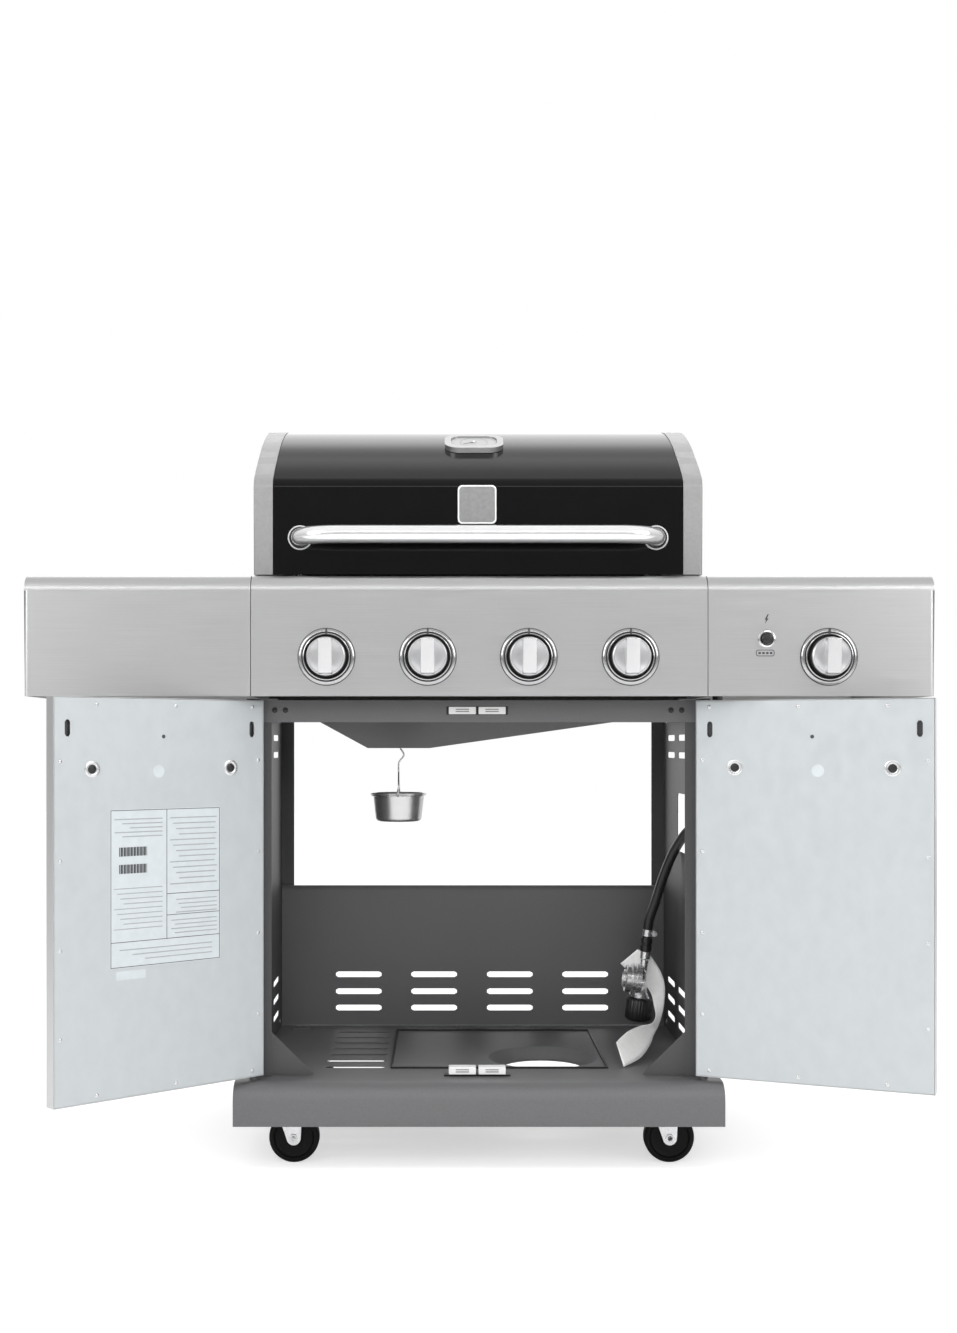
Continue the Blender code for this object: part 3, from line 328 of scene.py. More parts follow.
def tube(points, radius, sides=24, closed=False, bm=None):
    bm = bm or bmesh.new()
    points = [Vector(p) for p in points]
    count = len(points)
    rings = []
    side = None
    for i, point in enumerate(points):
        before = points[i - 1] if i or closed else point
        after = points[(i + 1) % count] if i < count - 1 or closed else point
        along = (after - before).normalized()
        if side is None:
            side = along.orthogonal().normalized()
        side = (side - along * side.dot(along)).normalized()
        other = along.cross(side)
        turns = [2 * math.pi * k / sides for k in range(sides)]
        rings.append([bm.verts.new(point + radius * (side * math.cos(t) + other * math.sin(t)))
                      for t in turns])
    pairs = list(zip(rings, rings[1:]))
    if closed:
        pairs.append((rings[-1], rings[0]))
    for first, second in pairs:
        for k in range(sides):
            m = (k + 1) % sides
            bm.faces.new((first[k], first[m], second[m], second[k]))
    if not closed:
        bm.faces.new(list(reversed(rings[0])))
        bm.faces.new(rings[-1])
    return bm


LAY = {"X": Matrix.Rotation(math.pi / 2, 4, "Y"), "Y": Matrix.Rotation(-math.pi / 2, 4, "X"),
       "Z": Matrix.Identity(4)}


def turned_to(bm, axis, at=(0, 0, 0)):
    """Lay what was made along Z along X or Y instead, and move it."""
    bmesh.ops.transform(bm, matrix=Matrix.Translation(at) @ LAY[axis], verts=bm.verts)
    return bm


def turned(profile, sides=96):
    """Lathe about Y, the way the controls stand on the panel."""
    return turned_to(lathe(profile, sides), "Y")


def moved(bm, matrix):
    bmesh.ops.transform(bm, matrix=matrix, verts=bm.verts)
    return bm


def eased_bow(half, stand_off, reach, steps=24):
    """Path of a bow handle along X whose ends sweep back in long quarter ellipses."""
    foot = 0.005
    quarter = arc((0.0, 0.0), 1.0, 0, 90, steps)
    left = [(-half, 0.0, 0.0)]
    left += [(-half + reach * (1 - x), -foot - (stand_off - foot) * y, 0.0) for x, y in quarter]
    return left + [(-x, y, z) for x, y, z in reversed(left)]


def bow(half, stand_off, bend, steps=16):
    left = arc((-half + bend, -stand_off + bend), bend, 180, 270, steps)
    right = arc((half - bend, -stand_off + bend), bend, 270, 360, steps)
    return [(x, y, 0.0) for x, y in [(-half, 0.0)] + left + right + [(half, 0.0)]]


# ---------------------------------------------------------------- pieces

def finish_mesh(obj, material, bevel, angle=35):
    obj.data.materials.clear()
    obj.data.materials.append(material)
    obj.data.shade_smooth()
    obj.data.set_sharp_from_angle(angle=math.radians(angle))
    if bevel:
        edge = obj.modifiers.new("edge", "BEVEL")
        edge.width = bevel
        edge.segments = 3
        edge.limit_method = "ANGLE"
        edge.angle_limit = math.radians(32)
        edge.harden_normals = True


def make(name, bm, material, body, stand=None, replaces=(), bevel=0.0, cuts=(), angle=35):
    """One piece from its mesh, cut, bevelled, painted and riding on its body."""
    bmesh.ops.recalc_face_normals(bm, faces=bm.faces)
    mesh = bpy.data.meshes.new(name)
    bm.to_mesh(mesh)
    bm.free()
    obj = bpy.data.objects.new(name, mesh)
    bpy.context.collection.objects.link(obj)
    for cutter in cuts:
        carve(obj, cutter)
    finish_mesh(obj, material, bevel, angle)
    obj.matrix_world = GRILL @ (stand or Matrix.Identity(4))
    if replaces:
        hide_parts(*replaces)
    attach(obj, body)
    return obj


def carve(obj, bm):
    """Cut a shape out of a piece at once, and leave no cutter behind."""
    bmesh.ops.recalc_face_normals(bm, faces=bm.faces)
    mesh = bpy.data.meshes.new("cutter")
    bm.to_mesh(mesh)
    bm.free()
    cutter = bpy.data.objects.new("cutter", mesh)
    bpy.context.collection.objects.link(cutter)
    modifier = obj.modifiers.new("cut", "BOOLEAN")
    modifier.operation = "DIFFERENCE"
    modifier.solver = "EXACT"
    modifier.object = cutter
    depsgraph = bpy.context.evaluated_depsgraph_get()
    result = bpy.data.meshes.new_from_object(obj.evaluated_get(depsgraph))
    obj.modifiers.clear()
    obj.data = result
    bpy.data.objects.remove(cutter)


def refined(node, material, bevel=0.0004, angle=35):
    """The CAD node's own shape with clean faces, softened edges and its real finish."""
    bm = bmesh.new()
    bm.from_mesh(frame["nodes"][node].data)
    bmesh.ops.remove_doubles(bm, verts=bm.verts, dist=1e-5)
    bmesh.ops.dissolve_limit(bm, angle_limit=math.radians(1), verts=bm.verts, edges=bm.edges)
    mesh = bpy.data.meshes.new(node + "_fine")
    bm.to_mesh(mesh)
    bm.free()
    obj = bpy.data.objects.new(node + "_fine", mesh)
    bpy.context.collection.objects.link(obj)
    finish_mesh(obj, material, bevel, angle)
    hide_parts(node)
    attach(obj, body_of(frame["nodes"][node])[0])
    return obj


# ---------------------------------------------------------------- gas hose and regulator

HOSE_ROUTE = ((0.3680, 0.0900, 0.7350), (0.3690, 0.1150, 0.7330), (0.3720, 0.1480, 0.7170),
              (0.3760, 0.1760, 0.6750), (0.3790, 0.1980, 0.6230), (0.3800, 0.2220, 0.5700),
              (0.3755, 0.2520, 0.5290), (0.3630, 0.2830, 0.4990), (0.3430, 0.3040, 0.4730),
              (0.3250, 0.3140, 0.4400), (0.3100, 0.3180, 0.4010), (0.2980, 0.3195, 0.3620),
              (0.2880, 0.3200, 0.3330), (0.2845, 0.3200, 0.3030))
HOSE_RADIUS = 0.008


def make_hose():
    points = [p + Vector((0, FRONT, 0)) for p in smooth_path(HOSE_ROUTE, 6)]
    curve = bpy.data.curves.new("hose", "CURVE")
    curve.dimensions = "3D"
    curve.bevel_depth = HOSE_RADIUS
    curve.bevel_resolution = 8
    curve.use_fill_caps = True
    spline = curve.splines.new("POLY")
    spline.points.add(len(points) - 1)
    spline.use_smooth = True
    for knot, point in zip(spline.points, points):
        knot.co = (*point, 1.0)
    curve.materials.append(RUBBER)
    hose = bpy.data.objects.new("hose", curve)
    bpy.context.collection.objects.link(hose)
    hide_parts("gas_hose")
    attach(hose, "base")
    length = sum((b - a).length for a, b in zip(points, points[1:]))
    return hose, points[0], length


def make_regulator():
    """Hose tail, die-cast drum with its ribs, outlet cone and the ribbed hand nut."""
    stand = Matrix.Translation(HOSE_ROUTE[-1]) @ Matrix.Rotation(REGULATOR_TILT, 4, "Y")
    tail = lathe(((0, -GAP), (0.0088, -GAP), (0.0093, -0.002), (0.0093, -0.008), (0.0085, -0.009),
                  (0.0085, -0.011), (0.0093, -0.012), (0.0093, -0.021), (0.0085, -0.022), (0, -0.022)))
    sleeve = make("hose_sleeve", tail, PLASTIC, "base", stand)
    profile = ((0, -0.022), (0.0072, -0.022), (0.0080, -0.023), (0.0080, -0.034), (0.0066, -0.036),
               (0.0066, -0.072), (0.0090, -0.082), (0.0100, -0.090), (0.0155, -0.0975),
               (0.0160, -0.0985), (0, -0.0985))
    body = make("regulator_body", lathe(profile), ZINC, "base", stand, replaces=("regulator",),
                bevel=0.0003)
    drum = lathe(((0, -0.026), (0.014, -0.026), (0.0145, -0.0255), (0.0145, -0.0235), (0.021, -0.0225),
                  (0.0225, -0.021), (0.0225, -0.014), (0.026, -0.0125), (0.026, -0.0105),
                  (0.0235, -0.010), (0.0235, -0.006), (0.026, -0.0055), (0.026, 0.003),
                  (0.024, 0.005), (0.019, 0.009), (0.017, 0.010), (0, 0.010)), 72)
    drum = make("regulator_drum", turned_to(drum, "X", (-0.006, 0, -0.070)), ZINC, "base", stand,
                bevel=0.0003)
    ribs = 28
    bm = bmesh.new()
    rings = []
    heights = ((-0.0988, 0.0170), (-0.1005, 0.0195), (-0.1040, 0.0222), (-0.1200, 0.0226),
               (-0.1320, 0.0220), (-0.1360, 0.0185), (-0.1372, 0.0165))
    for height, radius in heights:
        ring = []
        for k in range(ribs * 4):
            depth = 0.0009 if k % 4 < 2 and -0.133 < height < -0.103 else 0.0
            turn = 2 * math.pi * k / (ribs * 4)
            ring.append(bm.verts.new(((radius - depth) * math.cos(turn),
                                      (radius - depth) * math.sin(turn), height)))
        rings.append(ring)
    for first, second in zip(rings, rings[1:]):
        for k in range(len(first)):
            m = (k + 1) % len(first)
            bm.faces.new((first[k], first[m], second[m], second[k]))
    bm.faces.new(rings[0])
    bm.faces.new(rings[-1])
    nut = make("regulator_hand_nut", bm, PLASTIC, "base", stand, replaces=("hand_nut",), angle=40)
    band = lathe(((0.0084, 0.003), (0.0092, 0.003), (0.0092, 0.014), (0.0084, 0.014)))
    clamp = make("hose_clamp", band, ZINC, "base", stand, bevel=0.0002)
    screw = turned_to(lathe(((0, -0.009), (0.0034, -0.009), (0.0034, -0.006), (0.0026, -0.006),
                             (0.0026, 0.006), (0, 0.006)), 32), "Y", (0.0118, 0, 0.0085))
    screw = make("hose_clamp_screw", screw, ZINC, "base", stand, bevel=0.0003)
    saddle = prism(rounded((0.0112, 0.0085), 0.007, 0.0095, 0.002), "Y", -0.005, 0.005)
    saddle = make("hose_clamp_saddle", saddle, ZINC, "base", stand, bevel=0.0004)
    return [sleeve, body, drum, nut, clamp, screw, saddle]


def make_paper_tag():
    """Long paper strip that is looped round the hose tail and curls down to the front."""
    left = ((-0.0291, 0.0150, 0.0730), (-0.0104, 0.0140, 0.0552), (0.0066, 0.0080, 0.0438),
            (0.0195, 0.0000, 0.0254), (0.0224, -0.0140, 0.0090), (0.0231, -0.0310, -0.0058),
            (0.0136, -0.0550, -0.0138), (-0.0074, -0.0770, -0.0143), (-0.0294, -0.1070, -0.0168),
            (-0.0444, -0.1330, -0.0218), (-0.0543, -0.1520, -0.0268))
    right = ((-0.0016, 0.0110, 0.0968), (0.0166, 0.0120, 0.0902), (0.0341, 0.0080, 0.0658),
             (0.0424, 0.0020, 0.0418), (0.0414, -0.0060, 0.0162), (0.0359, -0.0180, -0.0058),
             (0.0256, -0.0440, -0.0218), (0.0143, -0.0760, -0.0298), (0.0028, -0.1150, -0.0388),
             (-0.0169, -0.1520, -0.0513), (-0.0463, -0.1840, -0.0583))
    bm = bmesh.new()
    rows = []
    for a, b in zip(smooth_path(left, 5), smooth_path(right, 5)):
        rows.append([bm.verts.new(a.lerp(b, k / 6)) for k in range(7)])
    for first, second in zip(rows, rows[1:]):
        for k in range(6):
            bm.faces.new((first[k], first[k + 1], second[k + 1], second[k]))
    tag = make("paper_tag", bm, PAPER, "base", Matrix.Translation(middle_of("hand_nut")))
    tag.modifiers.new("paper", "SOLIDIFY").thickness = 0.00025
    return tag


hose, hose_exit, hose_length = make_hose()
hose_pieces = make_regulator()
make_paper_tag()


# ---------------------------------------------------------------- cart

def add(bm, other):
    """Put the other mesh into this one."""
    mesh = bpy.data.meshes.new("part")
    other.to_mesh(mesh)
    other.free()
    bm.from_mesh(mesh)
    bpy.data.meshes.remove(mesh)


def screw_head(bm, at, axis, radius=0.0045, high=0.0018, sides=24):
    """Low domed head whose flat side is at the point, facing down the axis."""
    head = lathe(((0, 0), (radius, 0), (radius, 0.3 * high), (0.8 * radius, 0.75 * high),
                  (0.4 * radius, high), (0, high)), sides)
    flip = Matrix.Rotation(math.pi if axis[0] == "-" else 0, 4, "X")
    place = Matrix.Translation(at) @ LAY[axis[-1]]
    if axis[0] == "-":
        place = place @ flip
    add(bm, moved(head, place))


def make_cart():
    refined("cart_base", POWDER, 0.0006)
    for node in ("tank_tray", "back_panel", "front_header"):
        refined(node, POWDER, 0.0003)
    # The side panels take the darker copy of the powder coat, a painted shade
    for node in ("left_side_panel", "right_side_panel"):
        refined(node, SHADED_SIDE_POWDER, 0.0003)
    low, high = span("tank_tray")
    centre = middle_of("tank_tray")[:2]
    wide = high[0] - low[0] - 2 * TRAY_EAR
    deep = high[1] - low[1]
    # Painted shade: a black rubber frame round the tank tray stands in for the shadowed gap between the
    # tray and the floor
    shade_outline = prism(rounded(centre, wide + 0.0062, deep + 0.0056, 0.0015, 3), "Z", FLOOR - 0.0013,
                 FLOOR + 0.0028)
    hollow = prism(rounded(centre, wide + 2 * GAP, deep + 2 * GAP, 0.0010, 3), "Z", FLOOR - 0.006,
                   FLOOR + 0.007)
    make("tank_tray_gap_shade", shade_outline, RUBBER, "base", cuts=(hollow,))
    plugs = bmesh.new()
    for side in (-1, 1):
        for x in (0.288, 0.304):
            screw_head(plugs, (side * x, 0.0683, 0.674), "-Y", 0.0042, 0.0009)
    make("header_plugs", plugs, PLASTIC, "base")
    bolts = bmesh.new()
    for side in (-1, 1):
        for d in (0.120, 0.300, 0.470):
            screw_head(bolts, (side * 0.3385, d, 0.665), "-X" if side > 0 else "X", 0.005, 0.002)
            screw_head(bolts, (side * 0.3385, d, 0.139), "-X" if side > 0 else "X", 0.005, 0.002)
    make("cart_bolts", bolts, ZINC, "base")
    for name, middle in (("upper", 0.6736), ("lower", 0.1352)):
        case = bmesh.new()
        poles = bmesh.new()
        for start, end in ((-0.044, -0.0035), (0.0005, 0.041)):
            prism(rounded(((start + end) / 2, middle), end - start, 0.0110, 0.0008, 3), "Y",
                  0.0680, 0.0855, case)
            for shift in (-0.0016, 0.0016):
                prism(rounded(((start + end) / 2, middle + shift), 0.0200, 0.0016, 0.0005, 3), "Y",
                      0.0676, 0.0690, poles)
        make(name + "_magnet_case", case, WHITE_PLASTIC, "base", replaces=(name + "_magnet_catch",),
             bevel=0.0004)
        make(name + "_magnet_poles", poles, BADGE_GREY, "base")
    flange = bmesh.new()
    prism(rounded((-0.0015, 0.6735), 0.101, 0.019, 0.002, 3), "Y", 0.0701, 0.0716, flange)
    make("upper_magnet_flange", flange, PLASTIC, "base")
    ears = bmesh.new()
    prism(rounded((-0.0015, 0.1275), 0.100, 0.0022, 0.001, 3), "Y", 0.0720, 0.0850, ears)
    make("lower_magnet_flange", ears, PLASTIC, "base")


# ---------------------------------------------------------------- firebox and inside

def make_inside():
    refined("firebox", FIREBOX_GREY, 0.0006)
    refined("burner_set", STAINLESS, 0.0002)
    for number in range(1, 5):
        refined(f"flame_tamer_{number}", STAINLESS, 0.0003)
    for node in ("left_cooking_grate", "right_cooking_grate"):
        refined(node, IRON, 0.0012)
    refined("warming_rack", CHROME, 0.0006)
    refined("gas_manifold", BRASS, 0.0004)
    refined("side_burner", STAINLESS, 0.0004)
    refined("side_burner_lid", STAINLESS, 0.0010)
    for number in range(1, 6):
        refined(f"valve_stem_{number}", ZINC, 0.0003)
    refined("grease_tray", TRAY_POWDER, 0.0003)
    # Painted shade: thin dark discs stand in for the burner's port holes
    port_shade = bmesh.new()
    for k in range(28):
        turn = 2 * math.pi * k / 28
        prism(circle((0.0300 * math.cos(turn) + SIDE_BURNER_AT, 0.2225 + 0.0300 * math.sin(turn)),
                     0.0014, 12), "Z", DECK_TOP - 0.0247, DECK_TOP - 0.0241, port_shade)
    make("side_burner_port_shade", port_shade, IRON, "base")


def make_cup():
    pivot = Matrix.Translation((-0.1250, 0.285, 0.6176))
    rim = -0.0727
    profile = ((0, rim - 0.047), (0.0305, rim - 0.047), (0.0340, rim - 0.0462), (0.0362, rim - 0.0445),
               (0.0373, rim - 0.0415), (0.0410, rim - 0.0065), (0.0418, rim - 0.0042),
               (0.0444, rim - 0.0040), (0.0457, rim - 0.0028), (0.0457, rim - 0.0010), (0.0447, rim),
               (0.0415, rim - 0.0004), (0.0400, rim - 0.0030), (0.0361, rim - 0.0412),
               (0.0325, rim - 0.0455), (0, rim - 0.0458))
    make("grease_cup_fine", lathe(profile, 96), CUP_METAL, "cup", pivot, replaces=("grease_cup",))
    hook = arc((0.0, 0.0), 0.0034, 105, -30, 12)
    hook += [tuple(p) for p in smooth_path(((0.0062, -0.0060), (0.0085, -0.0110), (0.0065, -0.0160),
                                            (0.0025, -0.0205), (0.0, -0.0260), (0.0, -0.0420)), 5)]
    over = ((0.0190, -0.0590), (0.0450, -0.0675), (0.0489, -0.0720), (0.0478, -0.0760),
            (0.0436, -0.0780))
    bm = tube([(x, y, -0.0775) for x, y in circle((0, 0), 0.0436, 64)], 0.0013, 12, closed=True)
    tube([(x, 0.0, z) for x, z in hook], 0.0013, 12, bm=bm)
    for side in (-1, 1):
        path = smooth_path([(0.0, 0.0, -0.0400)] + [(0.0, side * o, h) for o, h in over], 6)
        tube(path, 0.0013, 12, bm=bm)
    make("cup_wire", bm, ZINC, "cup", pivot, replaces=("cup_hanger",))


# ---------------------------------------------------------------- shelves and controls

def front_profile(back):
    """Side view of the rolled sheet, up its front and back along its top."""
    roll = arc((ROLL, DECK_TOP - ROLL), ROLL, 180, 90, 20)
    return [(0.014, APRON_BOTTOM), (0.0, APRON_BOTTOM)] + roll + [(back, DECK_TOP)]


def make_panel():
    holes = bmesh.new()
    for x in BURNER_AT:
        prism(circle((x, KNOB_HIGH), 0.007), "Y", -0.004, 0.004, holes)
    make("control_panel_fine", prism(folded(front_profile(PANEL_BACK), -SHEET), "X",
                                     -PANEL_HALF, PANEL_HALF), STAINLESS, "base",
         replaces=("control_panel",), bevel=0.0004, cuts=(holes,))


def make_shelf(name, side):
    """Folded shelf with a broad front roll and softly rounded outer edges."""
    profile = front_profile(SHELF_BACK)[1:] + [(SHELF_BACK, APRON_BOTTOM)]
    start = side * SHELF_START
    end = side * SHELF_END
    bm = prism(profile, "X", start, end)
    outer = [e for e in bm.edges if all(abs(v.co.x - end) < 1e-6 for v in e.verts)
             and not all(v.co.z < APRON_BOTTOM + 1e-6 for v in e.verts)]
    bmesh.ops.bevel(bm, geom=outer, offset=0.006, segments=6, profile=0.5, affect="EDGES")
    bmesh.ops.recalc_face_normals(bm, faces=bm.faces)
    under = [f for f in bm.faces if f.normal.z < -0.99 and f.calc_center_median().z < APRON_BOTTOM + 1e-5]
    bmesh.ops.delete(bm, geom=under, context="FACES_ONLY")
    mesh = bpy.data.meshes.new("skin")
    bm.to_mesh(mesh)
    bm.free()
    skin = bpy.data.objects.new("skin", mesh)
    bpy.context.collection.objects.link(skin)
    sheet = skin.modifiers.new("sheet", "SOLIDIFY")
    sheet.thickness = SHEET
    sheet.offset = -1.0
    thick = bpy.data.meshes.new_from_object(skin.evaluated_get(bpy.context.evaluated_depsgraph_get()))
    bpy.data.objects.remove(skin)
    bm = bmesh.new()
    bm.from_mesh(thick)
    cuts = [block((min(start, start + side * 0.004) - 0.004, 0.030, 0.715),
                  (max(start, start + side * 0.004) + 0.004, 0.095, 0.785))]
    if side > 0:
        cuts.append(prism(circle((SIDE_BURNER_AT, KNOB_HIGH), 0.007), "Y", -0.004, 0.004))
        cuts.append(prism(circle(IGNITER_AT, 0.0085), "Y", -0.004, 0.004))
        cuts.append(block((0.400, 0.115, DECK_TOP - 0.004), (0.615, 0.330, DECK_TOP + 0.004)))
    make(name + "_fine", bm, STAINLESS, "base", replaces=(name,), bevel=0.0003, cuts=cuts)


def make_knob(number, x):
    """Stepped chrome bezel on the panel, with dark rings painted as shade round its foot and in its
    groove, black skirt and satin cap with a raised grip.
    """
    centre = Matrix.Translation((x, 0, KNOB_HIGH))
    body = f"knob_{number}"
    # Painted shade: dark rings stand in for the shade round the bezel's foot and at the bottom of the
    # groove between flange and collar
    shade_outline = ((0.0400, 0.0), (0.0420, 0.0), (0.0420, -0.0009), (0.0400, -0.0009))
    flange = ((0.0360, -GAP), (0.0410, -GAP), (0.0410, -0.0022), (0.0402, -0.0032), (0.0372, -0.0044),
              (0.0362, -0.0044), (0.0360, -0.0040))
    groove = ((0.0340, -GAP), (0.0361, -GAP), (0.0361, -0.0014), (0.0340, -0.0014))
    collar = ((0.0305, -GAP), (0.0349, -GAP), (0.0349, -0.0046), (0.0342, -0.0058), (0.0330, -0.0062),
              (0.0316, -0.0056), (0.0305, -0.0040))
    well = ((0.0090, -GAP), (0.0304, -GAP), (0.0304, -0.0012), (0.0090, -0.0012))
    skirt = ((0.0042, -0.0065), (0.0280, -0.0065), (0.0290, -0.0075), (0.0290, -0.0105),
             (0.0284, -0.0130), (0.0042, -0.0130))
    cap = ((0.0042, -0.0128), (0.0280, -0.0128), (0.0282, -0.0165), (0.0276, -0.0182),
           (0.0262, -0.0192), (0.0240, -0.0192), (0.0228, -0.0184), (0.0120, -0.0178), (0, -0.0176))
    make(f"knob_outline_shade_{number}", turned(shade_outline), DARK_RING_SHADE, "base", centre)
    make(f"knob_bezel_{number}", turned(flange), BEZEL, "base", centre, bevel=0.0002)
    make(f"knob_groove_shade_{number}", turned(groove), DARK_RING_SHADE, "base", centre)
    make(f"knob_collar_{number}", turned(collar), BEZEL, "base", centre, bevel=0.0002)
    make(f"knob_well_{number}", turned(well, 64), PLASTIC, "base", centre)
    tick = prism(rounded((0, 0.0368), 0.0027, 0.0090, 0.0006, 3), "Y", -0.0068, -0.0020)
    make(f"knob_tick_{number}", tick, INK, "base", centre)
    make(f"knob_skirt_{number}", turned(skirt), PLASTIC, body, centre, replaces=(body,))
    make(f"knob_cap_{number}", turned(cap), SATIN_CAP, body, centre)
    grip_high = 0.0520
    bm = prism(rounded((0, 0), 0.0215, grip_high, 0.0022, 5), "Y", -0.0170, -0.0395)
    for v in bm.verts:
        if v.co.y < -0.03:
            v.co.x *= 0.93
            v.co.z *= 0.95
            v.co.y += 0.0060 * (0.5 - v.co.z / grip_high)
    make(f"knob_grip_{number}", bm, GRIP, body, centre, bevel=0.0012)


def make_igniter():
    centre = Matrix.Translation((IGNITER_AT[0], 0, IGNITER_AT[1]))
    nut = turned_to(lathe(((0.0086, 0.0), (0.0132, 0.0), (0.0132, -0.0022), (0.0120, -0.0036),
                           (0.0100, -0.0040), (0.0092, -0.0034), (0.0086, -0.0030)), 64), "Y")
    make("igniter_nut", nut, CHROME, "base", centre, bevel=0.0002)
    button = turned_to(lathe(((0, -0.0120), (0.0055, -0.0118), (0.0070, -0.0110), (0.0078, -0.0095),
                              (0.0080, -0.0080), (0.0080, 0.0200), (0, 0.0200)), 48), "Y")
    make("igniter_cap", button, PLASTIC, "igniter", centre, replaces=("igniter_button",))
    bolt = ((0.0015, 0.0360), (-0.0030, 0.0275), (-0.0006, 0.0280), (-0.0026, 0.0215), (0.0030, 0.0300),
            (0.0006, 0.0296), (0.0030, 0.0360))
    make("igniter_bolt_mark", prism(bolt, "Y", -0.00025, 0.0), INK, "base", centre)
    outer = rounded((-0.002, -0.0205), 0.0270, 0.0095, 0.0035, 5)
    mark = prism(outer, "Y", -0.00025, 0.0)
    inner = prism(rounded((-0.002, -0.0205), 0.0250, 0.0075, 0.0027, 5), "Y", -0.002, 0.002)
    make("igniter_cell_mark", mark, INK, "base", centre, cuts=(inner,))
    lines = bmesh.new()
    for x in (-0.010, -0.0045, 0.001, 0.0065):
        prism(rounded((x, -0.0205), 0.0038, 0.0030, 0.0008, 3), "Y", -0.00025, 0.0, lines)
    make("igniter_cell_bars", lines, INK, "base", centre)


# ---------------------------------------------------------------- lid

def lid_curve(grow=0.0, rear=0.905):
    """Side view of the lid from its front lower edge over the top to the back."""
    bend = arc((LID_FRONT + 0.020, 1.008), 0.020, 180, 128, 14)
    over = ((0.1125, 1.0415), (0.1480, 1.0640), (0.1960, 1.0925), (0.2520, 1.1175), (0.3060, 1.1345),
            (0.3550, 1.1390), (0.4050, 1.1280), (0.4550, 1.0950), (0.4880, 1.0420), (LID_BACK, 0.9750))
    points = [(LID_FRONT, LID_BOTTOM)] + bend[:-1]
    points += [tuple(p) for p in smooth_path([bend[-1]] + list(over), 8)]
    points.append((LID_BACK, rear))
    outline = folded(points, grow)
    return list(reversed(outline[len(points):])) if grow else points


def make_lid():
    make("lid_hood_fine", prism(folded(lid_curve(), -SHEET), "X", -HOOD_HALF, HOOD_HALF), ENAMEL, "lid",
         replaces=("lid_hood",), bevel=0.0004)
    proud = lid_curve(grow=CAP_PROUD) + [(LID_BACK + CAP_PROUD, LID_BOTTOM)]
    room = lid_curve(grow=CAP_PROUD - CAP_WALL)
    room = ([(room[0][0], LID_BOTTOM - 0.01)] + room
            + [(LID_BACK + CAP_PROUD - CAP_WALL, LID_BOTTOM - 0.01)])
    for name, side in (("left", -1), ("right", 1)):
        near = side * (HOOD_HALF + GAP)
        bm = prism(proud, "X", near, side * CAP_HALF)
        outer = [e for e in bm.edges if all(abs(v.co.x - side * CAP_HALF) < 1e-6 for v in e.verts)
                 and not all(v.co.z < LID_BOTTOM + 1e-5 for v in e.verts)]
        bmesh.ops.bevel(bm, geom=outer, offset=0.0045, segments=5, profile=0.5, affect="EDGES")
        inside = prism(room, "X", near - side * 0.01, side * (CAP_HALF - CAP_WALL))
        rear = block((min(near - side * 0.01, side * (CAP_HALF - CAP_WALL)), LID_BACK - 0.008, 0.86),
                     (max(near - side * 0.01, side * (CAP_HALF - CAP_WALL)), LID_BACK + 0.01, 0.905))
        make(name + "_lid_end_cap_fine", bm, CAST_GREY, "lid", replaces=(name + "_lid_end_cap",),
             bevel=0.0003, cuts=(inside, rear))
        pin = turned_to(lathe(((0, 0), (0.0062, 0), (0.0062, 0.0014), (0.0050, 0.0022), (0, 0.0024)), 32),
                        "X", (0, *LID_HINGE))
        bmesh.ops.scale(pin, vec=(side, 1, 1), verts=pin.verts)
        make(name + "_hinge_pin_head", moved(pin, Matrix.Translation((side * (CAP_HALF + GAP), 0, 0))),
             ZINC, "base")
    make_lid_handle()
    make_thermometer()
    make_badge()
    bumpers = bmesh.new()
    for side in (-1, 1):
        prism(rounded((side * 0.263, 0.8744), 0.012, 0.0064, 0.0015, 4), "Y", 0.086, 0.094, bumpers)
    make("lid_bumpers", bumpers, RUBBER, "lid")


def make_lid_handle():
    foot = Matrix.Translation((0, LID_FRONT - GAP, HANDLE_HIGH))
    make("lid_handle_fine", tube(eased_bow(HANDLE_HALF, 0.044, 0.062), 0.0132, 48), HANDLE, "lid", foot,
         replaces=("lid_handle",), angle=50)
    for name, side in (("left", -1), ("right", 1)):
        at = (side * HANDLE_HALF, LID_FRONT - GAP, HANDLE_HIGH)
        ring = lathe(((0.0164, 0.0), (0.0186, 0.0), (0.0186, 0.0030), (0.0180, 0.0042), (0.0172, 0.0042),
                      (0.0164, 0.0034)), 64)
        place = Matrix.Translation(at) @ Matrix.Rotation(math.pi / 2, 4, "X")
        make(name + "_handle_rosette", moved(ring, place), ROSETTE, "lid")
        seat = lathe(((0.0136, 0.0), (0.0164, 0.0), (0.0164, 0.0016), (0.0136, 0.0016)), 64)
        make(name + "_handle_seat", moved(seat, place), PLASTIC, "lid")


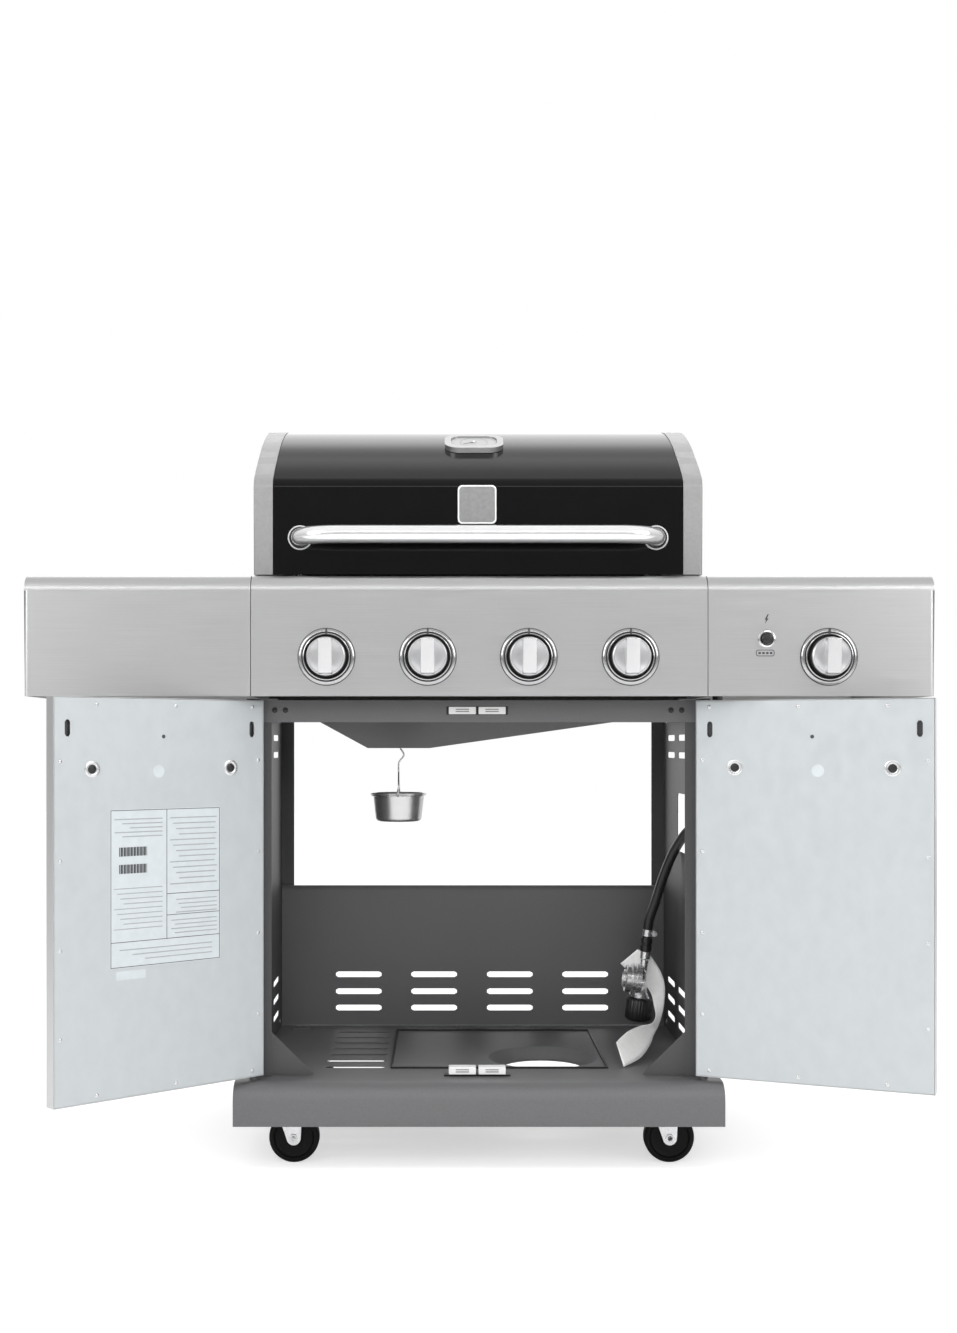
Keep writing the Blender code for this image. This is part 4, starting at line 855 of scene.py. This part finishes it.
def make_thermometer():
    slope = math.atan2(1.1175 - 1.0640, 0.252 - 0.148)
    stand = Matrix.Translation((-0.004, 0.199, 1.0942)) @ Matrix.Rotation(slope, 4, "X")
    under = prism(folded(lid_curve(grow=GAP), -0.030), "X", -0.080, 0.080)
    under = moved(under, stand.inverted())
    bm = prism(rounded((0, 0), 0.092, 0.072, 0.024, 14), "Z", -0.006, 0.0075)
    top = [e for e in bm.edges if all(v.co.z > 0.007 for v in e.verts)]
    bmesh.ops.bevel(bm, geom=top, offset=0.0040, segments=7, profile=0.5, affect="EDGES")
    well = prism(rounded((0, 0), 0.072, 0.052, 0.017, 14), "Z", 0.0045, 0.0200)
    make("lid_thermometer_fine", bm, GAUGE, "lid", stand, replaces=("lid_thermometer",), bevel=0.0006,
         cuts=(under, well))
    make("thermometer_dial", prism(rounded((0, 0), 0.0716, 0.0516, 0.0168, 14), "Z", 0.0046, 0.0050),
         DIAL, "lid", stand)
    ticks = bmesh.new()
    for k in range(25):
        turn = math.radians(210 - 240 * k / 24)
        reach = 0.0205 if k % 4 else 0.0185
        add(ticks, moved(block((reach, -0.0004, 0.0050), (0.0225, 0.0004, 0.0052)),
                         Matrix.Rotation(turn, 4, "Z")))
    make("thermometer_ticks", ticks, PALE_INK, "lid", stand)
    needle = prism(((-0.004, -0.0012), (0.0195, 0.0), (-0.004, 0.0012)), "Z", 0.0056, 0.0060)
    moved(needle, Matrix.Rotation(math.radians(210), 4, "Z"))
    make("thermometer_needle", needle, INK, "lid", stand)
    hub = lathe(((0, 0.0050), (0.0028, 0.0050), (0.0028, 0.0064), (0.0020, 0.0070), (0, 0.0070)), 32)
    make("thermometer_hub", hub, CHROME, "lid", stand)


def make_badge():
    """Plain rounded plate with a pale rim, with no mark or lettering."""
    at = (-0.0015, 0.983)
    rim = prism(rounded(at, 0.058, 0.058, 0.007, 8), "Y", LID_FRONT - 0.0022, LID_FRONT - GAP)
    hollow = prism(rounded(at, 0.0535, 0.0535, 0.0055, 8), "Y", LID_FRONT - 0.005, LID_FRONT - 0.0012)
    make("lid_badge_rim", rim, WHITE_PLASTIC, "lid", bevel=0.0004, cuts=(hollow,))
    face = prism(rounded(at, 0.0531, 0.0531, 0.0053, 8), "Y", LID_FRONT - 0.0017, LID_FRONT - 0.0013)
    make("lid_badge_face", face, BADGE_GREY, "lid")


# ---------------------------------------------------------------- doors

def door_stand(name, side):
    """Place of a door as stored, open, whose own X runs along it from its hinge pin."""
    pin = Matrix.Translation((side * DOOR_PIVOT[0], DOOR_PIVOT[1], 0))
    return pin @ Matrix.Rotation(DOOR_TURNS[name], 4, "Z")


def make_door(name, side):
    """Skin, inner pan with its screws, keyhole slots with painted shade behind them, plugs, and the bow
    handle.
    """
    stand = door_stand(name, side)

    def along(u):
        return side * (DOOR_EDGE - u)

    refined(name + "_skin", STAINLESS, 0.0004)
    refined(name + "_pan", GALVANIZED, 0.0004)
    screws = bmesh.new()
    places = [(u, z) for u in (0.020, 0.150, 0.275) for z in (DOOR_BOTTOM + 0.010, DOOR_TOP - 0.010)]
    places += [(u, z) for u in (0.010, 0.330) for z in (0.225, 0.345, 0.465, 0.600)]
    for u, z in places:
        screw_head(screws, (along(u), DOOR_INNER, z), "Y", 0.0028, 0.0010)
    make(name + "_screws", screws, ZINC, name, stand)
    # Painted shade: black plates inside the door stand in for the shade seen through the keyhole slots
    slot_shade = bmesh.new()
    for u in (0.021, 0.319):
        slot = [(along(u) + b, 0.645 + a) for a, b in stadium((0, 0), 0.026, 0.010)]
        prism(slot, "Y", 0.0085, 0.0095, slot_shade)
    make(name + "_slot_painted_shade", slot_shade, INK, name, stand)
    for number, u in enumerate((0.058, 0.282), 1):
        ring = turned_to(lathe(((0.0066, 0), (0.0115, 0), (0.0115, 0.0006), (0.0100, 0.0012),
                                (0.0075, 0.0012), (0.0066, 0.0008)), 48), "Y",
                         (along(u), DOOR_INNER, DOOR_HANDLE_HIGH))
        make(f"{name}_grommet_{number}", ring, ZINC, name, stand)
        plug = turned_to(lathe(((0, 0.0090), (0.0060, 0.0090), (0.0060, 0.0150), (0.0040, 0.0157),
                                (0, 0.0157)), 40), "Y", (along(u), 0, DOOR_HANDLE_HIGH))
        make(f"{name}_handle_nut_{number}", plug, PLASTIC, name, stand)
    pin = turned_to(lathe(((0, 0.0140), (0.0027, 0.0140), (0.0027, 0.0152), (0, 0.0154)), 24), "Y",
                    (along(0.170), 0, 0.634))
    make(name + "_plug", pin, INK, name, stand)
    disc = turned_to(lathe(((0, 0), (0.0090, 0), (0.0090, 0.0002), (0, 0.0002)), 48), "Y",
                     (along(0.178), DOOR_INNER, 0.585))
    make(name + "_round_sticker", disc, LABEL, name, stand)
    handle = tube(bow(0.112, 0.035, 0.018, 12), 0.0078, 32)
    place = stand @ Matrix.Translation((along(0.170), DOOR_OUTER - GAP, DOOR_HANDLE_HIGH))
    make(name + "_handle_fine", handle, CHROME, name, place, replaces=(name + "_handle",), angle=50)


def make_door_label():
    """Label with plain blocks of lines, on the left door's inner pan."""
    stand = door_stand("left_door", -1)

    def along(u):
        return -(DOOR_EDGE - u)

    def bar(bm, u0, u1, z, high, lift=0.0004):
        ends = sorted((along(u0), along(u1)))
        block((ends[0], DOOR_INNER + 0.0002, z - high / 2),
              (ends[1], DOOR_INNER + lift, z + high / 2), bm)

    middle = (along(0.1655), 0.423)
    make("door_label", prism(rounded(middle, 0.179, 0.220, 0.003, 4), "Y", DOOR_INNER,
                             DOOR_INNER + 0.0002), LABEL, "left_door", stand)
    strip = prism(rounded((along(0.222), 0.303), 0.046, 0.012, 0.001, 3), "Y", DOOR_INNER,
                  DOOR_INNER + 0.0002)
    make("door_strip_label", strip, LABEL, "left_door", stand)
    frames = bmesh.new()
    for u in (0.0775, 0.2535):
        bar(frames, u - 0.0004, u + 0.0004, 0.423, 0.217)
    bar(frames, 0.1646, 0.1654, 0.440, 0.183)
    for z in (0.3145, 0.3490, 0.5315):
        bar(frames, 0.0775, 0.2535, z, 0.0008)
    bar(frames, 0.0775, 0.165, 0.412, 0.0008)
    bar(frames, 0.0775, 0.165, 0.382, 0.0008)
    make("door_label_frames", frames, INK, "left_door", stand)
    text = bmesh.new()
    for k in range(13):
        bar(text, 0.082 + 0.002 * (k % 3), 0.160 - 0.005 * (k % 4), 0.519 - 0.0078 * k, 0.0016)
    for k in range(4):
        bar(text, 0.082, 0.150 - 0.004 * (k % 3), 0.403 - 0.006 * k, 0.0014)
    for k in range(4):
        bar(text, 0.082, 0.158 - 0.006 * (k % 2), 0.374 - 0.006 * k, 0.0014)
    for k in range(5):
        bar(text, 0.172, 0.248 - 0.012 * (k % 3), 0.519 - 0.006 * k, 0.0016)
    for k in range(9):
        bar(text, 0.172, 0.249 - 0.005 * (k % 4), 0.423 - 0.0070 * k, 0.0012)
    for k in range(3):
        bar(text, 0.090, 0.240 - 0.02 * k, 0.338 - 0.0070 * k, 0.0014)
    make("door_label_lines", text, PALE_INK, "left_door", stand)
    code = bmesh.new()
    for row, (low, high) in enumerate(((0.474, 0.0125), (0.450, 0.0125))):
        for k in range(26):
            wide = 0.0007 + 0.0006 * ((k * 7 + row * 3) % 3)
            bar(code, 0.197 + 0.0017 * k, 0.197 + 0.0017 * k + wide, low, high)
    make("door_label_bars", code, INK, "left_door", stand)


# ---------------------------------------------------------------- casters

def make_caster(name):
    """Zinc fork on its swivel race, and a one-piece black wheel on a bolt."""
    fork = "caster_fork_" + name
    wheel = "caster_wheel_" + name
    x, d = middle_of(wheel)[:2]
    stand = Matrix.Translation((x - TRAIL, d, 0))
    fork_body = body_of(frame["nodes"][fork])[0]
    wheel_body = body_of(frame["nodes"][wheel])[0]
    refined(fork, ZINC, 0.0005)
    inner = WHEEL_HALF + 0.0008
    ends = bmesh.new()
    for side in (-1, 1):
        prism(circle((TRAIL, WHEEL_RADIUS), 0.0068, 6), "Y", side * (inner + 0.0025),
              side * (inner + 0.0045), ends)
    make(name + "_axle_nuts", ends, ZINC, fork_body, stand, bevel=0.0005)
    w = WHEEL_HALF
    half = ((0.0044, 0.0110), (0.0100, 0.0110), (0.0110, 0.0100), (0.0125, 0.0080), (0.0270, 0.0080),
            (0.0290, 0.0095), (0.0300, w), (0.0335, w), (0.0358, 0.0108), (0.0370, 0.0085),
            (0.0375, 0.0050))
    profile = half + tuple((r, -h) for r, h in reversed(half))
    axle = Matrix.Translation((x, d, WHEEL_RADIUS))
    make(name + "_wheel_fine", turned_to(lathe(profile, 96), "Y"), TREAD, wheel_body, axle,
         replaces=(wheel,), angle=40)


make_cart()
make_inside()
make_cup()
make_panel()
make_shelf("left_shelf", -1)
make_shelf("right_shelf", 1)
for knob, column in enumerate([*BURNER_AT, SIDE_BURNER_AT], 1):
    make_knob(knob, column)
make_igniter()
make_lid()
make_door("left_door", -1)
make_door("right_door", 1)
make_door_label()
for caster in CASTERS:
    make_caster(caster)


# ---------------------------------------------------------------- floor and light

def make_floor():
    """White studio floor: bright to the camera, with a soft shadow."""
    bm = bmesh.new()
    bmesh.ops.create_grid(bm, x_segments=1, y_segments=1, size=12)
    mesh = bpy.data.meshes.new("floor")
    bm.to_mesh(mesh)
    bm.free()
    floor = bpy.data.objects.new("floor", mesh)
    bpy.context.collection.objects.link(floor)
    material = bpy.data.materials.new("floor")
    material.use_nodes = True
    nodes = material.node_tree.nodes
    link = material.node_tree.links.new
    shader = nodes["Principled BSDF"]
    shader.inputs["Base Color"].default_value = (0.80, 0.80, 0.80, 1)
    shader.inputs["Roughness"].default_value = 0.9
    glow = nodes.new("ShaderNodeEmission")
    glow.inputs["Strength"].default_value = 1.9
    path = nodes.new("ShaderNodeLightPath")
    share = nodes.new("ShaderNodeMath")
    share.operation = "MULTIPLY"
    share.inputs[1].default_value = 0.30
    mix = nodes.new("ShaderNodeMixShader")
    link(path.outputs["Is Camera Ray"], share.inputs[0])
    link(share.outputs[0], mix.inputs["Fac"])
    link(shader.outputs[0], mix.inputs[1])
    link(glow.outputs[0], mix.inputs[2])
    link(mix.outputs[0], nodes["Material Output"].inputs["Surface"])
    mesh.materials.append(material)


def make_world():
    """White to the camera; to everything else bright above and behind, dark in front and low."""
    world = bpy.data.worlds.new("studio")
    bpy.context.scene.world = world
    world.use_nodes = True
    nodes = world.node_tree.nodes
    link = world.node_tree.links.new
    back = nodes["Background"]
    white = nodes.new("ShaderNodeBackground")
    white.inputs["Color"].default_value = (1, 1, 1, 1)
    coords = nodes.new("ShaderNodeTexCoord")
    parts = nodes.new("ShaderNodeSeparateXYZ")
    link(coords.outputs["Generated"], parts.inputs[0])
    above = nodes.new("ShaderNodeMapRange")
    above.inputs["From Min"].default_value = -0.2
    above.inputs["From Max"].default_value = 0.7
    above.inputs["To Min"].default_value = 0.34
    above.inputs["To Max"].default_value = 0.75
    link(parts.outputs["Z"], above.inputs["Value"])
    behind = nodes.new("ShaderNodeMapRange")
    behind.inputs["From Min"].default_value = 0.54
    behind.inputs["From Max"].default_value = 0.78
    behind.inputs["To Max"].default_value = 1.15
    link(parts.outputs["Y"], behind.inputs["Value"])
    total = nodes.new("ShaderNodeMath")
    link(above.outputs["Result"], total.inputs[0])
    link(behind.outputs["Result"], total.inputs[1])
    link(total.outputs[0], back.inputs["Strength"])
    back.inputs["Color"].default_value = (1, 1, 1, 1)
    path = nodes.new("ShaderNodeLightPath")
    mix = nodes.new("ShaderNodeMixShader")
    link(path.outputs["Is Camera Ray"], mix.inputs["Fac"])
    link(back.outputs[0], mix.inputs[1])
    link(white.outputs[0], mix.inputs[2])
    link(mix.outputs[0], nodes["World Output"].inputs["Surface"])


def area_light(name, place, target, wide, high, power, mirrored=True):
    data = bpy.data.lights.new(name, "AREA")
    data.shape = "RECTANGLE"
    data.size = wide
    data.size_y = high
    data.energy = power
    light = bpy.data.objects.new(name, data)
    light.location = place
    light.rotation_euler = (Vector(target) - Vector(place)).to_track_quat("-Z", "Y").to_euler()
    light.visible_glossy = mirrored
    bpy.context.collection.objects.link(light)


make_floor()
make_world()
area_light("top_light", (0, -0.3, 3.0), (0, 0.1, 0.9), 3.2, 2.2, 60, mirrored=False)
area_light("left_light", (-2.6, -2.2, 1.9), (0, 0, 0.6), 1.6, 1.8, 26)
area_light("right_light", (2.6, -2.2, 1.9), (0, 0, 0.6), 1.6, 1.8, 28)
area_light("front_fill", (0, -3.6, 1.5), (0, 0.2, 0.35), 1.6, 1.2, 34, mirrored=False)
area_light("front_strip", (0, -3.0, 2.3), (0, 0, 1.0), 5.0, 0.25, 14)
